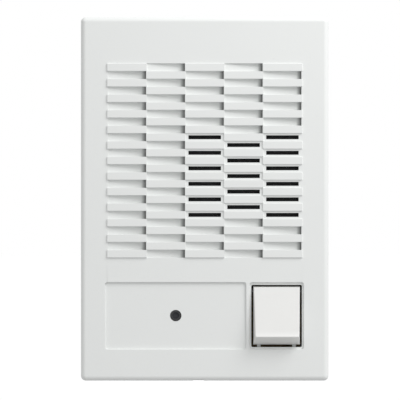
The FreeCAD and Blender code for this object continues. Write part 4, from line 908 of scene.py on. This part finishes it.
class INTERCOM_OT_speaker(PieceOperator):
    """Finish the loudspeaker"""

    bl_idname = "intercom.speaker"
    bl_label = "Loudspeaker"

    def execute(self, context):
        low, high = box_mm("speaker_yoke")
        axis = ((low.x + high.x) / 2, (low.z + high.z) / 2)
        zinc = brushed_metal("zinc_plate", (0.5, 0.5, 0.47), 0.36, "X", 1200.0)
        for node in ("speaker_basket", "speaker_top_plate", "speaker_yoke", "speaker_clamps"):
            paint(node, zinc)
        paint("speaker_magnet", ferrite("magnet_ferrite", (0.055, 0.055, 0.06)))
        paint("speaker_cone", pulp_paper("cone_pulp", (0.06, 0.057, 0.053), (*axis, 2.1)))
        paint("speaker_dust_cap", pulp_paper("cap_pulp", (0.05, 0.048, 0.045)))
        treated = woven_cloth("surround_cloth", (0.045, 0.042, 0.04), 0.5, 0.04)
        stretched("speaker_surround", treated)
        weave = woven_cloth("spider_weave", (0.5, 0.36, 0.17), 0.6, 0.08)
        stretched("speaker_spider", weave)
        paint("speaker_gasket", pulp_paper("gasket_board", (0.26, 0.21, 0.16)))
        paint("voice_coil", wound_wire("coil_wire", (0.5, 0.22, 0.1)))
        self.stretch_cloth()
        paint("speaker_terminal_strip", laminate("strip_laminate", (0.3, 0.14, 0.06)))
        paint("speaker_tags", brushed_metal("tag_tin", TIN, 0.34, "Z"))
        red_and_black = ((0.42, 0.035, 0.025), (0.03, 0.03, 0.032))
        paint("speaker_leads", insulation("lead_sleeves", red_and_black, LEAD_SPLIT))
        paint("speaker_screws", brushed_metal("speaker_screw_steel", SCREW_STEEL, 0.27, "Y"))
        return {"FINISHED"}

    def stretch_cloth(self):
        """The disc of black cloth between the grille and the loudspeaker's gasket."""
        mesh = smooth_copy("grille_cloth")
        weave = woven_cloth("grille_black_cloth", (0.012, 0.012, 0.013), 0.4)
        disc = link("cloth_disc", mesh, weave, replaced=["grille_cloth"])


def solder_points():
    """Where the parts on the rear of the board come through its front, in millimetres."""
    points = []
    capacitors = (
        ("large_capacitors", 3, LEAD_PAIR, 0.0),
        ("small_capacitors", 2, LEAD_PAIR, 0.0),
        ("film_capacitors", 2, 0.0, FILM_RISE),
    )
    for part, count, gap, rise in capacitors:
        low, high = box_mm(part)
        step = (high.x - low.x) / count
        middle = (low.z + high.z) / 2
        for number in range(count):
            centre = low.x + (number + 0.5) * step
            points += [(centre - gap, middle - rise), (centre + gap, middle + rise)]
    rows = (
        ("resistors", 5, RESISTOR_SPAN, RESISTOR_INSET),
        ("chip_pins", 4, CHIP_SPAN, CHIP_INSET),
    )
    for part, columns, span, inset in rows:
        low, high = box_mm(part)
        first, last = low.x + inset, high.x - inset
        middle = (low.z + high.z) / 2
        for number in range(columns):
            right = first + (last - first) * number / (columns - 1)
            points += [(right, middle - span / 2), (right, middle + span / 2)]
    low, high = box_mm("terminal_block")
    step, middle = (high.x - low.x) / TERMINALS, (low.z + high.z) / 2
    points += [(low.x + step * (number + 0.5), middle) for number in range(TERMINALS)]
    low, high = box_mm("transformer_winding")
    sides = (low.x + WINDING_INSET, high.x - WINDING_INSET)
    ends = (low.z + WINDING_INSET, high.z - WINDING_INSET)
    points += [(right, up) for right in sides for up in ends]
    return points


class INTERCOM_OT_board(PieceOperator):
    """Finish the circuit board and the parts on it"""

    bl_idname = "intercom.board"
    bl_label = "Circuit board"

    def execute(self, context):
        paint("circuit_board", laminate("board_laminate_brown", (0.36, 0.22, 0.085)))
        steel = brushed_metal("screw_steel", SCREW_STEEL, 0.27, "Y")
        for node in ("board_screws", "terminal_screws"):
            paint(node, steel)
        black = moulded_plastic("package_black", (0.028, 0.028, 0.03), 0.42, 2600.0, 0.03, 0.2)
        for node in ("amplifier_chip", "transistors"):
            paint(node, black)
        paint("chip_pins", brushed_metal("chip_pin_tin", TIN, 0.36, "Y"))
        paint("terminal_block", moulded_plastic("block_green", (0.06, 0.19, 0.09), 0.4, drift=0.1))
        for node, name, colour, row, stripe in CANS:
            paint(node, shrunk_sleeve(name, colour, row, stripe))
        paint("film_capacitors", dipped_ceramic("film_red", (0.42, 0.06, 0.03)))
        paint("disc_capacitors", dipped_ceramic("disc_ochre", (0.58, 0.3, 0.07)))
        tan = banded_lacquer("resistor_tan", (0.6, 0.42, 0.24), RESISTOR_UP, RESISTOR_RINGS)
        paint("resistors", tan)
        paint("transformer_core", stacked_sheets("core_sheets", (0.16, 0.155, 0.15)))
        paint("transformer_winding", wrapped_tape("winding_yellow", (0.68, 0.5, 0.05)))
        paint("trimmer_body", moulded_plastic("trimmer_blue", (0.03, 0.07, 0.26), 0.38, drift=0.1))
        paint("trimmer_rotor", moulded_plastic("rotor_ivory", (0.72, 0.69, 0.58), 0.4, drift=0.06))
        self.add_solder()
        return {"FINISHED"}

    def add_solder(self):
        """Solder on the front of the board, where the leads come through."""
        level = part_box("circuit_board")[0].y - SOLDER_HEIGHT * MM
        start = bpy.data.meshes.new("solder_points")
        start.from_pydata([(right * MM, level, up * MM) for right, up in solder_points()], [], [])
        solder = brushed_metal("solder_tin", (0.62, 0.62, 0.6), 0.24, "Y")
        sizes = {
            "Base": SOLDER_BASE * MM,
            "Tip": SOLDER_TIP * MM,
            "Height": SOLDER_HEIGHT * MM,
            "Facing": (-math.pi / 2, 0.0, 0.0),
        }
        link("solder_joints", joint_layout(solder).mesh(sizes, start), solder)


# ---------------------------------------------------------------- stage


def aim(item, target):
    """Turn a camera or lamp to look at a point."""
    item.rotation_euler = (Vector(target) - item.location).to_track_quat("-Z", "Y").to_euler()


class INTERCOM_OT_stage(PieceOperator):
    """Set up the camera, the floor, the lamps and the white surroundings"""

    bl_idname = "intercom.stage"
    bl_label = "Stage"

    def execute(self, context):
        stage = settings()[1]
        scene = context.scene
        self.add_camera(scene, stage)
        self.add_floor(stage)
        self.add_lamps(stage)
        self.add_sky(scene, stage)
        scene.view_settings.view_transform = "Standard"
        return {"FINISHED"}

    def add_camera(self, scene, stage):
        """A camera straight before the face, a little left of its middle."""
        lens = bpy.data.cameras.new("camera")
        lens.sensor_width = SENSOR_WIDTH
        lens.lens = lens.sensor_width * stage.camera_distance / stage.frame_width
        lens.clip_start = 0.01
        lens.clip_end = 50.0
        camera = place_in_scene("camera", lens)
        out = FACE_LEVEL * MM - stage.camera_distance
        camera.location = (CAMERA_RIGHT * MM, out, CAMERA_UP * MM)
        camera.rotation_euler = (math.pi / 2, 0.0, 0.0)
        scene.camera = camera

    def add_floor(self, stage):
        """A plain white floor that keeps the station's shadow."""
        finish = Finish("floor_white")
        path = finish.tree.nodes.new("ShaderNodeLightPath")
        seen = Value(finish, path.outputs["Is Camera Ray"])
        for name in ("Is Glossy Ray", "Is Transmission Ray"):
            seen = seen.math("MAXIMUM", Value(finish, path.outputs[name]))
        pale = finish.make(
            "ShaderNodeBsdfPrincipled",
            None,
            {
                "Base Color": WHITE,
                "Roughness": 1.0,
                "Emission Color": WHITE,
                "Emission Strength": stage.floor_glow,
            },
        )
        dim = finish.make("ShaderNodeBsdfDiffuse", None, {"Color": FLOOR_DIM})
        both = finish.make("ShaderNodeMixShader", None, {0: seen, 1: dim, 2: pale})
        finish.make("ShaderNodeOutputMaterial", None, {"Surface": both})
        mesh = bpy.data.meshes.new("floor")
        level = CAD_BOX[0][2] - stage.floor_drop
        signs = ((-1, -1), (1, -1), (1, 1), (-1, 1))
        corners = [(FLOOR_REACH * right, FLOOR_REACH * back, level) for right, back in signs]
        mesh.from_pydata(corners, [], [(0, 1, 2, 3)])
        mesh.materials.append(finish.material)
        place_in_scene("floor", mesh)

    def add_lamps(self, stage):
        """A broad distant lamp from the upper right, and a near one that fades across the face."""
        way = Vector(LAMP_WAY).normalized()
        far = bpy.data.lights.new("key_lamp", "SUN")
        far.angle = math.radians(stage.key_spread)
        far.energy = stage.key_power
        near = bpy.data.lights.new("near_lamp", "AREA")
        near.shape = "DISK"
        near.size = NEAR_LAMP_WIDTH
        near.energy = stage.near_power
        for lamp, reach in ((far, KEY_REACH), (near, stage.near_distance)):
            item = place_in_scene(lamp.name, lamp)
            item.location = way * reach
            aim(item, (0.0, 0.0, 0.0))

    def add_sky(self, scene, stage):
        """Even light from all round, which shows as white where it is looked at."""
        world = bpy.data.worlds.new("surroundings")
        world.use_nodes = True
        tree = world.node_tree
        tree.nodes.clear()
        path = tree.nodes.new("ShaderNodeLightPath")
        strength = tree.nodes.new("ShaderNodeMath")
        strength.operation = "MAXIMUM"
        tree.links.new(path.outputs["Is Camera Ray"], strength.inputs[0])
        clear = tree.nodes.new("ShaderNodeMath")
        clear.operation = "MAXIMUM"
        tree.links.new(path.outputs["Is Glossy Ray"], clear.inputs[0])
        tree.links.new(path.outputs["Is Transmission Ray"], clear.inputs[1])
        tree.links.new(clear.outputs[0], strength.inputs[1])
        level = tree.nodes.new("ShaderNodeMapRange")
        tree.links.new(strength.outputs[0], level.inputs["Value"])
        level.inputs["To Min"].default_value = stage.sky
        level.inputs["To Max"].default_value = 1.0
        background = tree.nodes.new("ShaderNodeBackground")
        background.inputs["Color"].default_value = WHITE
        tree.links.new(level.outputs[0], background.inputs["Strength"])
        output = tree.nodes.new("ShaderNodeOutputWorld")
        tree.links.new(background.outputs[0], output.inputs["Surface"])
        scene.world = world


OPERATORS = (
    INTERCOM_OT_cover,
    INTERCOM_OT_housing,
    INTERCOM_OT_button,
    INTERCOM_OT_microphone,
    INTERCOM_OT_speaker,
    INTERCOM_OT_board,
    INTERCOM_OT_stage,
)


class INTERCOM_PT_panel(Panel):
    """Lists the pieces and their settings"""

    bl_idname = "INTERCOM_PT_panel"
    bl_label = "Intercom station"
    bl_space_type = "VIEW_3D"
    bl_region_type = "UI"
    bl_category = "Intercom"

    def draw(self, context):
        for group in settings():
            box = self.layout.box()
            for name in group.bl_rna.properties.keys():
                if name not in ("rna_type", "name"):
                    box.prop(group, name)
        for operator in OPERATORS:
            self.layout.operator(operator.bl_idname)


def register():
    """Make the settings, operators and panel known."""
    for group in SETTINGS:
        bpy.utils.register_class(group)
    bpy.types.Scene.intercom_casing = PointerProperty(type=CasingSettings)
    bpy.types.Scene.intercom_stage = PointerProperty(type=StageSettings)
    for operator in OPERATORS:
        bpy.utils.register_class(operator)
    bpy.utils.register_class(INTERCOM_PT_panel)


def unregister():
    """Take everything back."""
    bpy.utils.unregister_class(INTERCOM_PT_panel)
    for operator in reversed(OPERATORS):
        bpy.utils.unregister_class(operator)
    del bpy.types.Scene.intercom_stage
    del bpy.types.Scene.intercom_casing
    for group in reversed(SETTINGS):
        bpy.utils.unregister_class(group)


def main():
    """Build every piece."""
    register()
    for operator in OPERATORS:
        group, name = operator.bl_idname.split(".")
        getattr(getattr(bpy.ops, group), name)()


if __name__ == "__main__":
    main()
